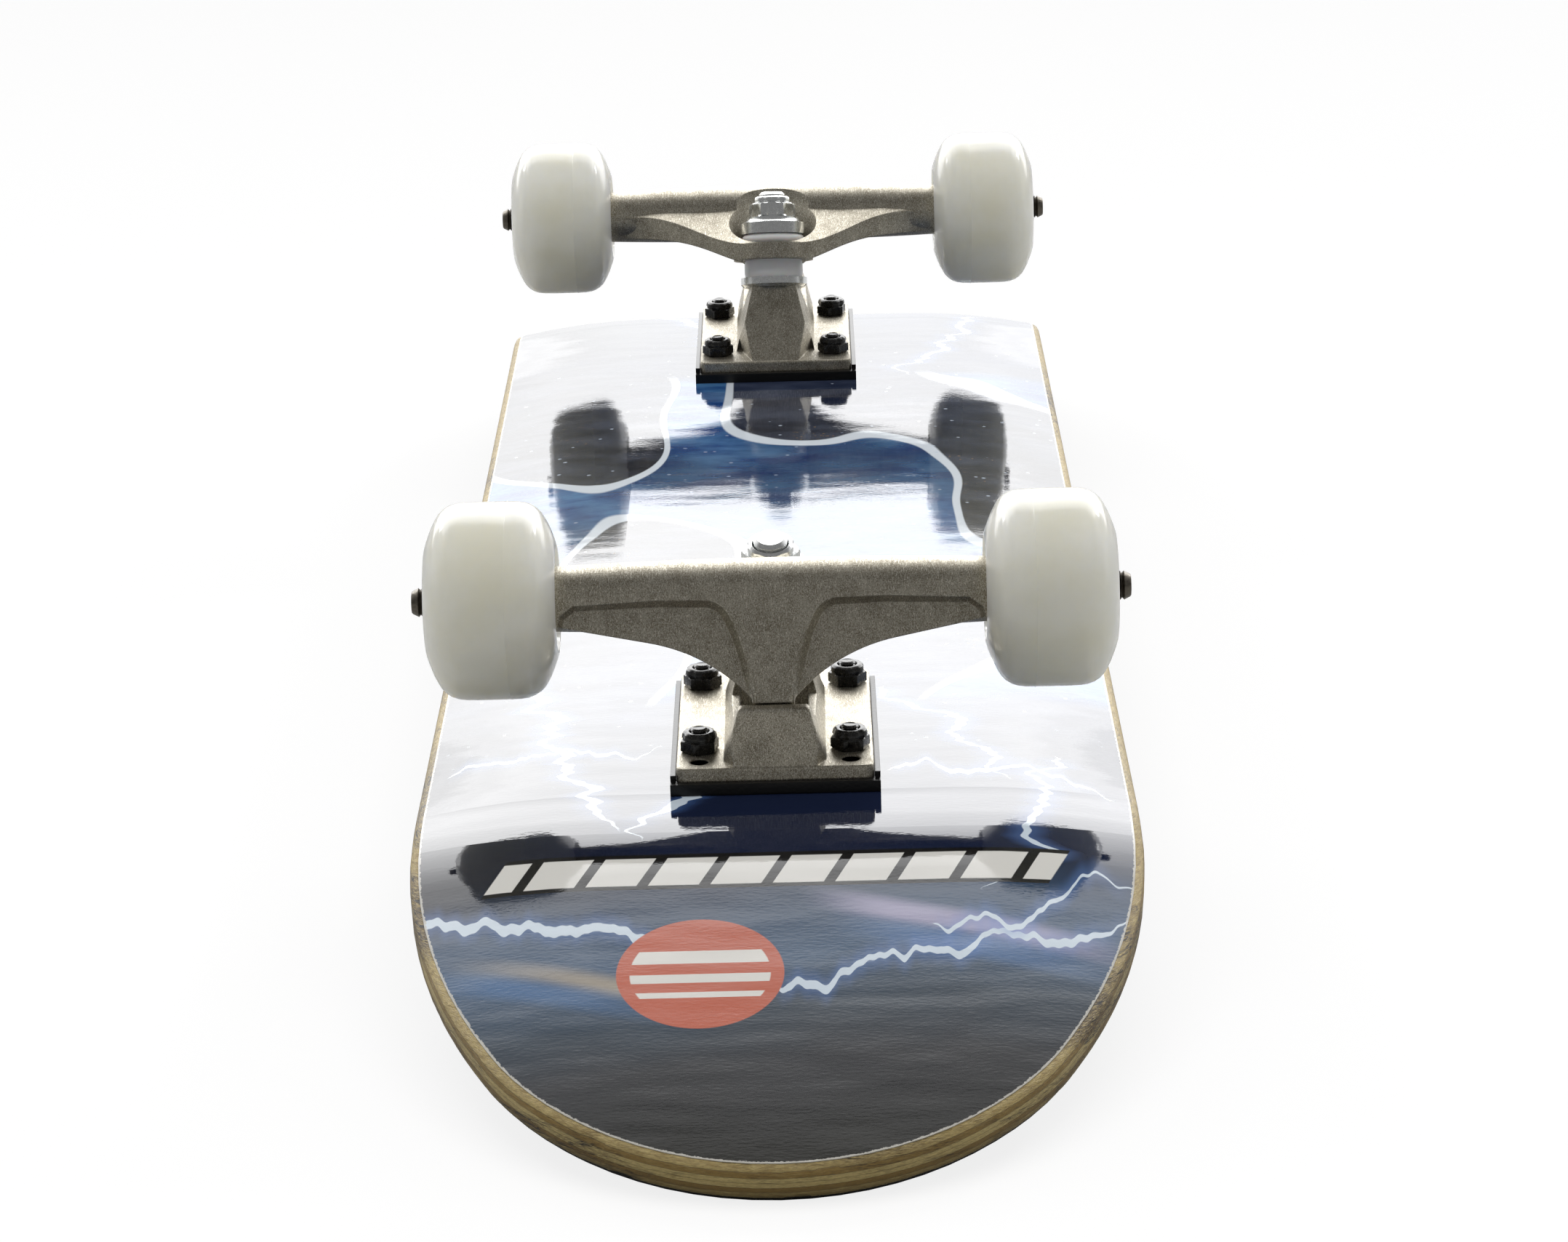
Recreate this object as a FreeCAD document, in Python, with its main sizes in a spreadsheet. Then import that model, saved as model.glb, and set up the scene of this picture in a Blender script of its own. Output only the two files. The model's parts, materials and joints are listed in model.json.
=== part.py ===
import FreeCAD, Part
import math
import os

import Sketcher
from FreeCAD import Placement, Rotation, Vector

# A skateboard lying on its riding side, wheels up. Millimetres, +Z up, length along Y,
# axles along X. Each truck is drawn once in its own frame (origin on the printed film
# under the middle of its bolt pattern, +Y towards the tip) and placed at both ends.

os.makedirs("parts", exist_ok=True)
doc = FreeCAD.newDocument("skateboard")

# ---------------------------------------------------------------- driving dimensions
sheet = doc.addObject("Spreadsheet::Sheet", "sizes")

DRIVING = {
    # deck: seven plies pressed with a shallow side concave and two kicks
    "film_top": 53.9,
    "deck_half_width": 98.5,
    "flat_half_width": 48.0,
    "concave_radius": 230.0,
    "kick_start": 250.0,
    "kick_radius": 70.0,
    "kick_angle": 17.4,
    "kick_straight": 134.0,
    "tip_radius": 85.0,
    "shoulder_radius": 190.7,
    "shoulder_start": 3.0,
    "film_thickness": 0.25,
    "wood_thickness": 10.6,
    "grip_thickness": 0.85,
    "film_inset": 2.4,
    "grip_inset": 1.8,
    "edge_round": 2.8,
    "outline_margin": 5.0,
    # mounting pattern shared by deck, riser and baseplate
    "pattern_centre": 208.0,
    "hole_row": 26.925,
    "extra_row": 36.575,
    "hole_side": 20.65,
    "mount_hole_radius": 2.6,
    "countersink": 2.1,
    "bolt_radius": 2.4,
    "bolt_head_radius": 4.6,
    "bolt_tip": 13.5,
    "bolt_chamfer": 0.5,
    "bolt_nut_flats": 9.53,
    "bolt_nut_hex": 3.9,
    "bolt_nut_height": 5.7,
    "bolt_nut_collar": 4.15,
    "bolt_nut_roll": 1.0,
    # riser pad
    "riser_thickness": 3.2,
    "riser_half_width": 28.6,
    "riser_inner_end": 41.0,
    "riser_outer_end": 44.2,
    "riser_rim_width": 1.5,
    "riser_rim_rise": 1.6,
    "riser_rim_stop": 3.0,
    # cast baseplate
    "plate_thickness": 3.8,
    "plate_half_width": 26.9,
    "plate_inner_end": 39.0,
    "plate_outer_end": 42.4,
    "plate_corner": 2.5,
    "plate_edge_round": 0.6,
    "boss_half_width": 14.0,
    "boss_draft": 15.4,
    "pivot_boss_top": 23.0,
    "rail_outer_y": 28.0,
    "rail_outer_height": 17.0,
    "rail_inner_y": 5.0,
    "rail_inner_height": 15.0,
    "boss_front_half": 11.0,
    "boss_front_taper": 5.9,
    "boss_back_half": 8.0,
    "boss_back_step": 13.0,
    "boss_back_taper": 19.0,
    "boss_round": 1.3,
    "trough_start": 6.0,
    "trough_floor": 8.6,
    "trough_half_width": 9.4,
    "seat_reach": 9.3,
    # steering pivot: the cup's mouth and the slope of its axis, from the deck plane
    "pivot_y": 30.2,
    "pivot_z": 13.9,
    "pivot_slope": 33.6,
    "pivot_boss_front": 40.0,
    "cup_radius": 6.3,
    "cup_bore": 5.2,
    "cup_depth": 7.0,
    "cup_floor": 1.2,
    "nose_radius": 5.15,
    "nose_length": 5.3,
    "nose_root": 6.0,
    "nose_round": 1.8,
    # kingpin: seat on the baseplate and the lean of the pin towards the tip
    "seat_y": -10.1,
    "seat_z": 26.7,
    "kingpin_lean": 18.0,
    "kingpin_radius": 4.75,
    "kingpin_height": 34.4,
    "kingpin_chamfer": 1.0,
    "kingpin_head_depth": 21.5,
    "kingpin_head_height": 5.0,
    "kingpin_nut_flats": 14.3,
    "kingpin_nut_base": 25.2,
    "kingpin_nut_height": 7.6,
    "kingpin_nut_hex": 5.2,
    "kingpin_nut_collar": 6.7,
    "kingpin_nut_roll": 1.3,
    "head_clearance": 0.3,
    # bushings and cup washers, heights along the kingpin from its seat
    "lower_washer_radius": 11.9,
    "lower_washer_disc": 2.2,
    "lower_washer_lip": 3.4,
    "washer_wall": 1.35,
    "washer_corner": 1.0,
    "washer_gap": 0.25,
    "lower_bushing_radius": 10.25,
    "upper_bushing_radius": 10.9,
    "upper_washer_radius": 11.3,
    "upper_washer_base": 22.4,
    "upper_washer_wall": 1.6,
    "upper_washer_skirt": 3.2,
    "bushing_bore_gap": 0.15,
    "bushing_corner": 0.6,
    "bushing_gap": 0.15,
    "bushing_neck": 9.05,
    "bushing_neck_height": 3.4,
    "bushing_swell": 14.0,
    "ring_bottom": 9.75,
    "ring_top": 15.6,
    "ring_radius": 14.3,
    "ring_seat_depth": 1.5,
    "ring_seat_radius": 10.6,
    "ring_bore": 6.6,
    "ring_clearance": 20.0,
    # hanger and axle
    "axle_y": 16.0,
    "axle_z": 48.0,
    "axle_radius": 4.0,
    "axle_half_length": 98.5,
    "hanger_half_width": 63.5,
    "beam_end_radius": 8.8,
    "beam_crown": 1.3,
    "web_lean": 20.0,
    "web_face": 8.9,
    "web_back": 2.5,
    "web_ridge": 0.7,
    "web_end": 60.5,
    "web_foot": 30.0,
    "web_fall": 50.0,
    "panel_face": 6.8,
    "panel_end": 57.6,
    "panel_corner": 6.0,
    "panel_draft": 30.0,
    "stem_half_width": 5.65,
    "bowl_foot_radius": 12.3,
    "bowl_mouth": 37.5,
    "bowl_half_width": 24.0,
    "bowl_half_depth": 20.0,
    "bowl_offset": 7.3,
    # wheels and bearings, distances along the axle from the truck's middle
    "wheel_radius": 27.3,
    "wheel_inner_face": 58.5,
    "wheel_outer_face": 94.5,
    "wheel_half_tread": 7.5,
    "wheel_shoulder": 8.2,
    "wheel_shoulder_turn": 63.2,
    "wheel_lip_radius": 14.8,
    "wheel_dish": 5.0,
    "wheel_dish_radius": 12.0,
    "wheel_hub_bore": 9.5,
    "bearing_radius": 11.0,
    "bearing_width": 7.0,
    "inner_race_radius": 6.05,
    "outer_race_radius": 9.45,
    "ball_radius": 1.95,
    "ball_circle": 7.75,
    "groove_gap": 0.05,
    "shield_inner": 6.25,
    "shield_outer": 9.4,
    "shield_inset": 0.3,
    "shield_thickness": 0.4,
    "speed_ring": 1.0,
    "speed_ring_radius": 5.9,
    "spacer_length": 10.0,
    "spacer_radius": 5.2,
    "axle_chamfer": 0.8,
    "axle_nut_height": 5.6,
    "axle_nut_hex": 4.2,
    "axle_nut_flats": 12.7,
    "axle_nut_collar": 5.85,
    "nut_lip": 0.9,
    "nut_crimp": 0.8,
    # running fit of a bore over its pin
    "fit_gap": 0.05,
}

for row, (alias, value) in enumerate(DRIVING.items(), start=1):
    sheet.set("A%d" % row, alias)
    sheet.set("B%d" % row, str(value))
    sheet.setAlias("B%d" % row, alias)
doc.recompute()


def number(expression):
    """Value of an expression written on the sheet's names."""
    return float(sheet.evalExpression(bound(expression)))


def bound(expression):
    """The expression with each of the sheet's names led by the sheet's own."""
    words, word = [], ""
    for letter in expression + " ":
        if letter.isalnum() or letter == "_":
            word += letter
            continue
        words.append("sizes." + word if word in DRIVING else word)
        words.append(letter)
        word = ""
    return "".join(words).strip()


# ---------------------------------------------------------------- drawing helpers
def new_body(label, place=None):
    body = doc.addObject("PartDesign::Body", label)
    body.Label = label
    if place is not None:
        body.Placement = place
    return body


def origin_plane(body, role):
    return [f for f in body.Origin.OriginFeatures if f.Role == role][0]


def new_sketch(body, name, frame=None, role="XY_Plane"):
    """A sketch on one of the body's origin planes, shifted by a frame of its own."""
    sketch = body.newObject("Sketcher::SketchObject", name)
    sketch.AttachmentSupport = (origin_plane(body, role), [""])
    sketch.MapMode = "FlatFace"
    if frame is not None:
        sketch.AttachmentOffset = frame
    return sketch


def pin_point(sketch, element, end, corner):
    """Hold a point of the sketch at a pair of expressions."""
    axes = (("DistanceX", -2, corner[0]), ("DistanceY", -1, corner[1]))
    for kind, axis, expression in axes:
        if expression == "0":
            sketch.addConstraint(Sketcher.Constraint("PointOnObject", element, end, axis))
            continue
        value = number(expression)
        index = sketch.addConstraint(
            Sketcher.Constraint(kind, -1, 1, element, end, value)
        )
        sketch.setExpression("Constraints[%d]" % index, bound(expression))


def draw_path(sketch, corners, arcs=None, closed=True):
    """Join corners with straight sides, or with arcs: {side: radius}.

    A side with a radius bends to the left of its way when the radius has no minus.
    """
    arcs = arcs or {}
    points = [Vector(number(x), number(y), 0) for x, y in corners]
    sides = len(points) if closed else len(points) - 1
    base = sketch.GeometryCount
    ends = []
    for side in range(sides):
        start, stop = points[side], points[(side + 1) % len(points)]
        if side not in arcs:
            sketch.addGeometry(Part.LineSegment(start, stop), False)
            ends.append((1, 2))
            continue
        turn = -1 if arcs[side].startswith("-") else 1
        radius = number(arcs[side].lstrip("-"))
        chord = stop - start
        half = chord.Length / 2
        normal = Vector(-chord.y, chord.x, 0) / chord.Length
        rise = math.sqrt(max(radius**2 - half**2, 0))
        centre = (start + stop) / 2 + normal * rise * turn
        first, last = (start, stop) if turn > 0 else (stop, start)
        circle = Part.Circle(centre, Vector(0, 0, 1), radius)
        begin = math.atan2(first.y - centre.y, first.x - centre.x)
        finish = math.atan2(last.y - centre.y, last.x - centre.x)
        sketch.addGeometry(Part.ArcOfCircle(circle, begin, finish), False)
        ends.append((1, 2) if turn > 0 else (2, 1))
    for side in range(sides):
        pin_point(sketch, base + side, ends[side][0], corners[side])
        if side + 1 < sides or closed:
            following = (side + 1) % sides
            here, there = base + side, base + following
            sketch.addConstraint(
                Sketcher.Constraint("Coincident", here, ends[side][1], there, ends[following][0])
            )
    if not closed:
        pin_point(sketch, base + sides - 1, ends[-1][1], corners[-1])
    for side, radius in arcs.items():
        index = sketch.addConstraint(
            Sketcher.Constraint("Radius", base + side, number(radius.lstrip("-")))
        )
        sketch.setExpression("Constraints[%d]" % index, bound(radius.lstrip("-")))
    return sketch


def draw_circle(sketch, centre, radius):
    x, y = number(centre[0]), number(centre[1])
    circle = Part.Circle(Vector(x, y, 0), Vector(0, 0, 1), number(radius))
    index = sketch.addGeometry(circle, False)
    pin_point(sketch, index, 3, centre)
    held = sketch.addConstraint(Sketcher.Constraint("Radius", index, number(radius)))
    sketch.setExpression("Constraints[%d]" % held, bound(radius))


def draw_ellipse(sketch, centre, half_width, half_height):
    """An ellipse that lies along the sketch's X, held by its two axes."""
    x, y = number(centre[0]), number(centre[1])
    wide, high = number(half_width), number(half_height)
    shape = Part.Ellipse(Vector(x + wide, y, 0), Vector(x, y + high, 0), Vector(x, y, 0))
    index = sketch.addGeometry(shape, False)
    sketch.exposeInternalGeometry(index)
    pin_point(sketch, index, 3, centre)
    sketch.addConstraint(Sketcher.Constraint("Horizontal", index + 1))
    for axis, half in ((index + 1, half_width), (index + 2, half_height)):
        held = sketch.addConstraint(Sketcher.Constraint("Distance", axis, 2 * number(half)))
        sketch.setExpression("Constraints[%d]" % held, bound("2 * " + half))


def mirrored(corners):
    """The same corners on the other side of the sketch's upright axis."""
    return [("-(%s)" % x, y) for x, y in corners]


def pad(body, sketch, length, both_ways=False, backwards=False):
    feature = body.newObject("PartDesign::Pad", sketch.Name + "_pad")
    feature.Profile = sketch
    feature.setExpression("Length", bound(length))
    feature.Midplane = both_ways
    feature.Reversed = backwards
    sketch.Visibility = False
    return feature


def pocket(body, sketch, length, both_ways=False, backwards=False):
    """Cut a sketch into the body and make sure that it has taken material away."""
    doc.recompute()
    before = body.Shape.Volume
    feature = body.newObject("PartDesign::Pocket", sketch.Name + "_pocket")
    feature.Profile = sketch
    feature.setExpression("Length", bound(length))
    feature.Midplane = both_ways
    feature.Reversed = backwards
    doc.recompute()
    if not body.Shape.Volume < before - 1e-3:
        raise ValueError("%s cuts nothing" % sketch.Name)
    return feature


def revolve(body, sketch, groove=False):
    """Turn a sketch once round its own X axis."""
    kind = "PartDesign::Groove" if groove else "PartDesign::Revolution"
    feature = body.newObject(kind, sketch.Name + "_turned")
    feature.Profile = sketch
    feature.ReferenceAxis = (sketch, ["H_Axis"])
    feature.Angle = 360
    return feature


def round_edges(body, radius, wanted, kind="PartDesign::Fillet"):
    """Round or chamfer each edge of the body that the test wants."""
    doc.recompute()
    base = body.Tip
    names = [
        "Edge%d" % n
        for n, edge in enumerate(base.Shape.Edges, start=1)
        if wanted(edge)
    ]
    feature = body.newObject(kind, "%s_edges_%d" % (body.Name, len(body.Group)))
    feature.Base = (base, names)
    key = "Radius" if kind == "PartDesign::Fillet" else "Size"
    feature.setExpression(key, bound(radius))
    return feature


def middle(edge):
    return edge.valueAt((edge.FirstParameter + edge.LastParameter) / 2)


# ---------------------------------------------------------------- deck layers
# The plies, the printed film over them and the grip tape under them are one pressed
# shape at three depths: a section swept along the centre line, then routed to outline.
# The edge is cut square to the surface, so each kick is trimmed along its own normal.
KICK = math.radians(number("kick_angle"))


def kick_frame(end):
    """Frame of a kick: origin where its straight part starts, Y along it to the tip."""
    y = number("kick_start") + number("kick_radius") * math.sin(KICK)
    z = -number("kick_radius") * (1 - math.cos(KICK))
    along = Vector(0, end * math.cos(KICK), -math.sin(KICK))
    across = Vector(end, 0, 0)
    turn = Rotation(across, along, Vector(0, 0, 0), "XYZ")
    return Placement(Vector(0, end * y, z), turn)


def deck_layer(label, depth, thickness, inset):
    """A layer between two depths under the film's top, set in from the deck's edge."""
    top, bottom = depth, "(%s + %s)" % (depth, thickness)
    width = "deck_half_width - %s" % inset
    body = new_body(label)
    body.setExpression("Placement.Base.z", bound("film_top"))
    section = new_sketch(body, label + "_section", role="XZ_Plane")
    edge = "(deck_half_width - %s - flat_half_width)" % inset

    def side_drop(level):
        radius = "(concave_radius - %s)" % level
        return "-(%s) - (%s - sqrt(%s ^ 2 - %s ^ 2))" % (level, radius, radius, edge)

    corners = [
        ("flat_half_width", "-(%s)" % top),
        ("-flat_half_width", "-(%s)" % top),
        ("-(%s)" % width, side_drop(top)),
        ("-(%s)" % width, side_drop(bottom)),
        ("-flat_half_width", "-%s" % bottom),
        ("flat_half_width", "-%s" % bottom),
        (width, side_drop(bottom)),
        (width, side_drop(top)),
    ]
    arcs = {
        1: "(concave_radius - %s)" % top,
        3: "-(concave_radius - %s)" % bottom,
        5: "-(concave_radius - %s)" % bottom,
        7: "(concave_radius - %s)" % top,
    }
    draw_path(section, corners, arcs)
    spine = new_sketch(body, label + "_spine", role="YZ_Plane")
    bend_y = "kick_start + kick_radius * sin(kick_angle * 1 deg)"
    bend_z = "-kick_radius * (1 - cos(kick_angle * 1 deg))"
    tip_y = bend_y + " + kick_straight * cos(kick_angle * 1 deg)"
    tip_z = bend_z + " - kick_straight * sin(kick_angle * 1 deg)"
    route = [("0", "0"), ("kick_start", "0"), (bend_y, bend_z), (tip_y, tip_z)]
    draw_path(spine, route, {1: "-kick_radius"}, closed=False)
    sweep = body.newObject("PartDesign::AdditivePipe", label + "_sweep")
    sweep.Profile = section
    sweep.Spine = (spine, ["Edge1", "Edge2", "Edge3"])
    doc.recompute()
    twin = body.newObject("PartDesign::Mirrored", label + "_both_ends")
    twin.Originals = [sweep]
    twin.MirrorPlane = (origin_plane(body, "XZ_Plane"), [""])
    body.Tip = twin
    doc.recompute()
    for end, name in ((1, "tail"), (-1, "nose")):
        trim_tip(body, label + "_" + name, kick_frame(end), inset)
    return body


def trim_tip(body, name, frame, inset):
    """Cut the kick's outline: a tip arc running into two shoulder arcs."""
    sketch = new_sketch(body, name + "_outline", frame)
    centre = "(kick_straight - tip_radius)"
    rise = "(%s - shoulder_start)" % centre
    swing = "(shoulder_radius - deck_half_width)"
    reach = "sqrt(%s ^ 2 + %s ^ 2)" % (rise, swing)
    meet_x = "(tip_radius - %s) * %s / %s" % (inset, swing, reach)
    meet_y = "%s + (tip_radius - %s) * %s / %s" % (centre, inset, rise, reach)
    width = "deck_half_width - %s" % inset
    corners = [
        (width, "shoulder_start"),
        (meet_x, meet_y),
        ("-(%s)" % meet_x, meet_y),
        ("-(%s)" % width, "shoulder_start"),
        ("-(deck_half_width + outline_margin)", "shoulder_start"),
        ("-(deck_half_width + outline_margin)", "kick_straight + outline_margin"),
        ("deck_half_width + outline_margin", "kick_straight + outline_margin"),
        ("deck_half_width + outline_margin", "shoulder_start"),
    ]
    arcs = {
        0: "(shoulder_radius - %s)" % inset,
        1: "(tip_radius - %s)" % inset,
        2: "(shoulder_radius - %s)" % inset,
    }
    draw_path(sketch, corners, arcs)
    pocket(body, sketch, "deck_half_width", both_ways=True)


def deck_bolt_holes(body, radius):
    """Eight holes through a deck layer, four at each truck."""
    sketch = new_sketch(body, body.Name + "_bolt_holes")
    for end in ("pattern_centre", "-pattern_centre"):
        for side in ("hole_side", "-hole_side"):
            for row in ("hole_row", "-hole_row"):
                draw_circle(sketch, (side, "%s + %s" % (end, row)), radius)
    pocket(body, sketch, "4 * wood_thickness", both_ways=True)


def on_deck_rim(edge):
    """The edges round the deck where its faces meet the routed wall, not its seams."""
    point = middle(edge)
    out = abs(point.x)
    crosses_wall = abs(edge.Length - number("wood_thickness")) < 1
    ends_flat = abs(out - number("flat_half_width")) < 0.01
    on_side = out > number("deck_half_width") - 0.1
    in_kick = abs(point.y) > kick_frame(1).Base.y + number("shoulder_start")
    return not crosses_wall and not ends_flat and (on_side or in_kick)


def on_countersink(edge):
    """The rims of the bolt holes on the riding side."""
    depth = number("film_thickness + wood_thickness")
    is_hole = abs(edge.Length - 2 * math.pi * number("mount_hole_radius")) < 0.01
    return is_hole and abs(middle(edge).z + depth) < 0.01


def deck():
    body = deck_layer("deck", "film_thickness", "wood_thickness", "0")
    round_edges(body, "edge_round", on_deck_rim)
    deck_bolt_holes(body, "mount_hole_radius")
    round_edges(body, "countersink", on_countersink, "PartDesign::Chamfer")
    return body


def printed_film():
    body = deck_layer("printed_film", "0", "film_thickness", "film_inset")
    deck_bolt_holes(body, "mount_hole_radius")
    return body


def grip_tape():
    depth = "(film_thickness + wood_thickness)"
    body = deck_layer("grip_tape", depth, "grip_thickness", "grip_inset")
    deck_bolt_holes(body, "bolt_head_radius + fit_gap")
    return body


# ---------------------------------------------------------------- frames of a truck
ACROSS, ALONG, UP = Vector(1, 0, 0), Vector(0, 1, 0), Vector(0, 0, 1)
LEAN = math.radians(number("kingpin_lean"))
KINGPIN_AXIS = Vector(0, math.sin(LEAN), math.cos(LEAN))
KINGPIN_SIDE = Vector(0, math.cos(LEAN), -math.sin(LEAN))
SEAT = Vector(0, number("seat_y"), number("seat_z"))
SLOPE = math.radians(number("pivot_slope"))
PIVOT_AXIS = Vector(0, -math.cos(SLOPE), math.sin(SLOPE))
PIVOT_SIDE = Vector(0, math.sin(SLOPE), math.cos(SLOPE))
PIVOT = Vector(0, number("pivot_y"), number("pivot_z"))
AXLE = Vector(0, number("axle_y"), number("axle_z"))


def frame_at(point, x_way, y_way):
    return Placement(point, Rotation(x_way, y_way, Vector(0, 0, 0), "XYZ"))


def kingpin_profile_frame():
    """For shapes turned round the kingpin: X is the height above its seat."""
    return frame_at(SEAT, KINGPIN_AXIS, KINGPIN_SIDE)


def kingpin_level(height):
    """For shapes padded along the kingpin: a plane square to it at a height."""
    return frame_at(SEAT + KINGPIN_AXIS * number(height), ACROSS, KINGPIN_SIDE)


def axle_frame(side=1):
    """For shapes turned round the axle: X is the distance from the truck's middle."""
    return frame_at(AXLE, ACROSS * side, UP)


def level_frame(height):
    return frame_at(UP * number(height), ACROSS, ALONG)


def truck_body(end, label):
    """A body in one truck's frame; the nose's is the tail's turned half round."""
    body = new_body(end + "_" + label)
    body.AllowCompound = True
    if end == "nose":
        body.Placement = Placement(Vector(0, 0, 0), Rotation(UP, 180))
    sign = "-" if end == "nose" else ""
    body.setExpression("Placement.Base.y", bound(sign + "pattern_centre"))
    body.setExpression("Placement.Base.z", bound("film_top"))
    return body


def draw_hexagon(sketch, centre, flats):
    """A hexagon with two flats along the sketch's X."""
    x, y = [("" if value == "0" else value) for value in centre]
    reach, half = "%s / sqrt(3)" % flats, "%s / 2" % flats
    corners = [
        (x + " + " + reach, y or "0"),
        (x + " + " + reach + " / 2", y + " + " + half),
        (x + " - " + reach + " / 2", y + " + " + half),
        (x + " - " + reach, y or "0"),
        (x + " - " + reach + " / 2", y + " - " + half),
        (x + " + " + reach + " / 2", y + " - " + half),
    ]
    draw_path(sketch, [(a.removeprefix(" + "), b.removeprefix(" + ")) for a, b in corners])


def turned(body, name, frame, corners, arcs=None, groove=False):
    """Turn an outline round the X axis of a frame."""
    sketch = new_sketch(body, name, frame)
    draw_path(sketch, corners, arcs)
    return revolve(body, sketch, groove)


def mount_places(rows=("hole_row", "-hole_row")):
    return [(side, row) for row in rows for side in ("hole_side", "-hole_side")]


# ---------------------------------------------------------------- riser pad
def riser_pad(end):
    """A flat pad under the baseplate with a low rim along each long side."""
    body = truck_body(end, "riser_pad")
    outline = new_sketch(body, "slab", level_frame("0"))
    wide, inner, outer = "riser_half_width", "-riser_inner_end", "riser_outer_end"
    draw_path(outline, [(wide, inner), (wide, outer), ("-" + wide, outer), ("-" + wide, inner)])
    pad(body, outline, "riser_thickness")
    rims = new_sketch(body, "rims", level_frame("riser_thickness"))
    inside = "riser_half_width - riser_rim_width"
    start, stop = inner + " + riser_rim_stop", outer + " - riser_rim_stop"
    rim = [(wide, start), (wide, stop), (inside, stop), (inside, start)]
    draw_path(rims, rim)
    draw_path(rims, mirrored(rim))
    pad(body, rims, "riser_rim_rise")
    mount_holes(body, "2 * riser_thickness")
    return body


def mount_holes(body, depth):
    """Six holes, so that the plate fits two bolt spacings."""
    holes = new_sketch(body, "mount_holes", level_frame("riser_thickness"))
    for centre in mount_places(("hole_row", "-hole_row", "extra_row")):
        draw_circle(holes, centre, "mount_hole_radius")
    pocket(body, holes, "3 * " + depth, both_ways=True)


# ---------------------------------------------------------------- baseplate
PLATE_TOP = "(riser_thickness + plate_thickness)"
SEAT_LOW = ("seat_y + seat_reach * cos(kingpin_lean * 1 deg)",
            "seat_z - seat_reach * sin(kingpin_lean * 1 deg)")
SEAT_HIGH = ("seat_y - seat_reach * cos(kingpin_lean * 1 deg)",
             "seat_z + seat_reach * sin(kingpin_lean * 1 deg)")


def mouth_y(height):
    """Where the plane of the pivot cup's mouth stands at a height."""
    return "pivot_y + (%s - pivot_z) * tan(pivot_slope * 1 deg)" % height


def baseplate(end):
    """A cast plate whose middle rises into the kingpin's seat and the pivot's boss."""
    body = truck_body(end, "baseplate")
    cast_plate(body)
    cast_boss(body)
    boss_taper(body)
    round_edges(body, "boss_round", on_boss_corner)
    boss_trough(body)
    bore = new_sketch(body, "cup_bore", frame_at(PIVOT, ACROSS, PIVOT_SIDE))
    draw_circle(bore, ("0", "0"), "cup_radius + fit_gap")
    pocket(body, bore, "cup_depth")
    shank = new_sketch(body, "kingpin_bore", kingpin_level("ring_bottom"))
    draw_circle(shank, ("0", "0"), "kingpin_radius + 2 * fit_gap")
    pocket(body, shank, "2 * kingpin_height")
    recess = new_sketch(body, "head_recess", kingpin_level("kingpin_head_height - kingpin_head_depth"))
    draw_circle(recess, ("0", "0"), "kingpin_nut_flats / sqrt(3) + head_clearance")
    pocket(body, recess, "kingpin_head_depth")
    mount_holes(body, "2 * plate_thickness")
    return body


def cast_plate(body):
    """The flat plate with its corners rounded."""
    plate = new_sketch(body, "plate", level_frame("riser_thickness"))
    wide, inner, outer = "plate_half_width", "-plate_inner_end", "plate_outer_end"
    draw_path(plate, [(wide, inner), (wide, outer), ("-" + wide, outer), ("-" + wide, inner)])
    pad(body, plate, "plate_thickness")
    height = number("plate_thickness")
    round_edges(body, "plate_corner", lambda edge: abs(edge.Length - height) < 0.01)
    top = number(PLATE_TOP)
    round_edges(body, "plate_edge_round", lambda edge: abs(middle(edge).z - top) < 0.01)


def cast_boss(body):
    """The side view of the boss: pivot block, low rails and the sloping kingpin seat."""
    spine = new_sketch(body, "spine", role="YZ_Plane")
    foot = PLATE_TOP + " - plate_edge_round"
    draw_path(spine, [
        ("plate_outer_end - plate_edge_round", foot),
        ("plate_outer_end - plate_edge_round", PLATE_TOP),
        ("pivot_boss_front", "pivot_boss_top"),
        (mouth_y("pivot_boss_top"), "pivot_boss_top"),
        ("rail_outer_y", "rail_outer_height"),
        ("rail_inner_y", "rail_inner_height"),
        SEAT_LOW,
        SEAT_HIGH,
        ("plate_edge_round - plate_inner_end", PLATE_TOP),
        ("plate_edge_round - plate_inner_end", foot),
    ])
    pad(body, spine, "2 * boss_half_width", both_ways=True)


def boss_taper(body):
    """Draw the boss's flanks in towards its top, its front and its back."""
    peak = SEAT_HIGH[1]
    rise = "((%s) - %s)" % (peak, PLATE_TOP)
    beyond = "boss_half_width + outline_margin"
    flank = [
        ("boss_half_width", PLATE_TOP),
        ("boss_half_width - %s * tan(boss_draft * 1 deg)" % rise, peak),
        (beyond, peak),
        (beyond, PLATE_TOP),
    ]
    flanks = new_sketch(body, "flanks", role="XZ_Plane")
    draw_path(flanks, flank)
    draw_path(flanks, mirrored(flank))
    pocket(body, flanks, "3 * plate_outer_end", both_ways=True)
    front = [
        ("boss_front_half", "plate_outer_end + outline_margin"),
        ("boss_front_half", "plate_outer_end"),
        ("boss_half_width", "plate_outer_end - boss_front_taper"),
        (beyond, "plate_outer_end + outline_margin"),
    ]
    back = [
        ("boss_back_half", "-plate_inner_end - outline_margin"),
        ("boss_back_half", "-plate_inner_end"),
        ("boss_back_step", "boss_back_taper - plate_inner_end"),
        (beyond, "-plate_inner_end - outline_margin"),
    ]
    corners = new_sketch(body, "corners", level_frame(PLATE_TOP))
    for cut in (front, back):
        draw_path(corners, cut)
        draw_path(corners, mirrored(cut))
    pocket(body, corners, peak, backwards=True)


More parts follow.
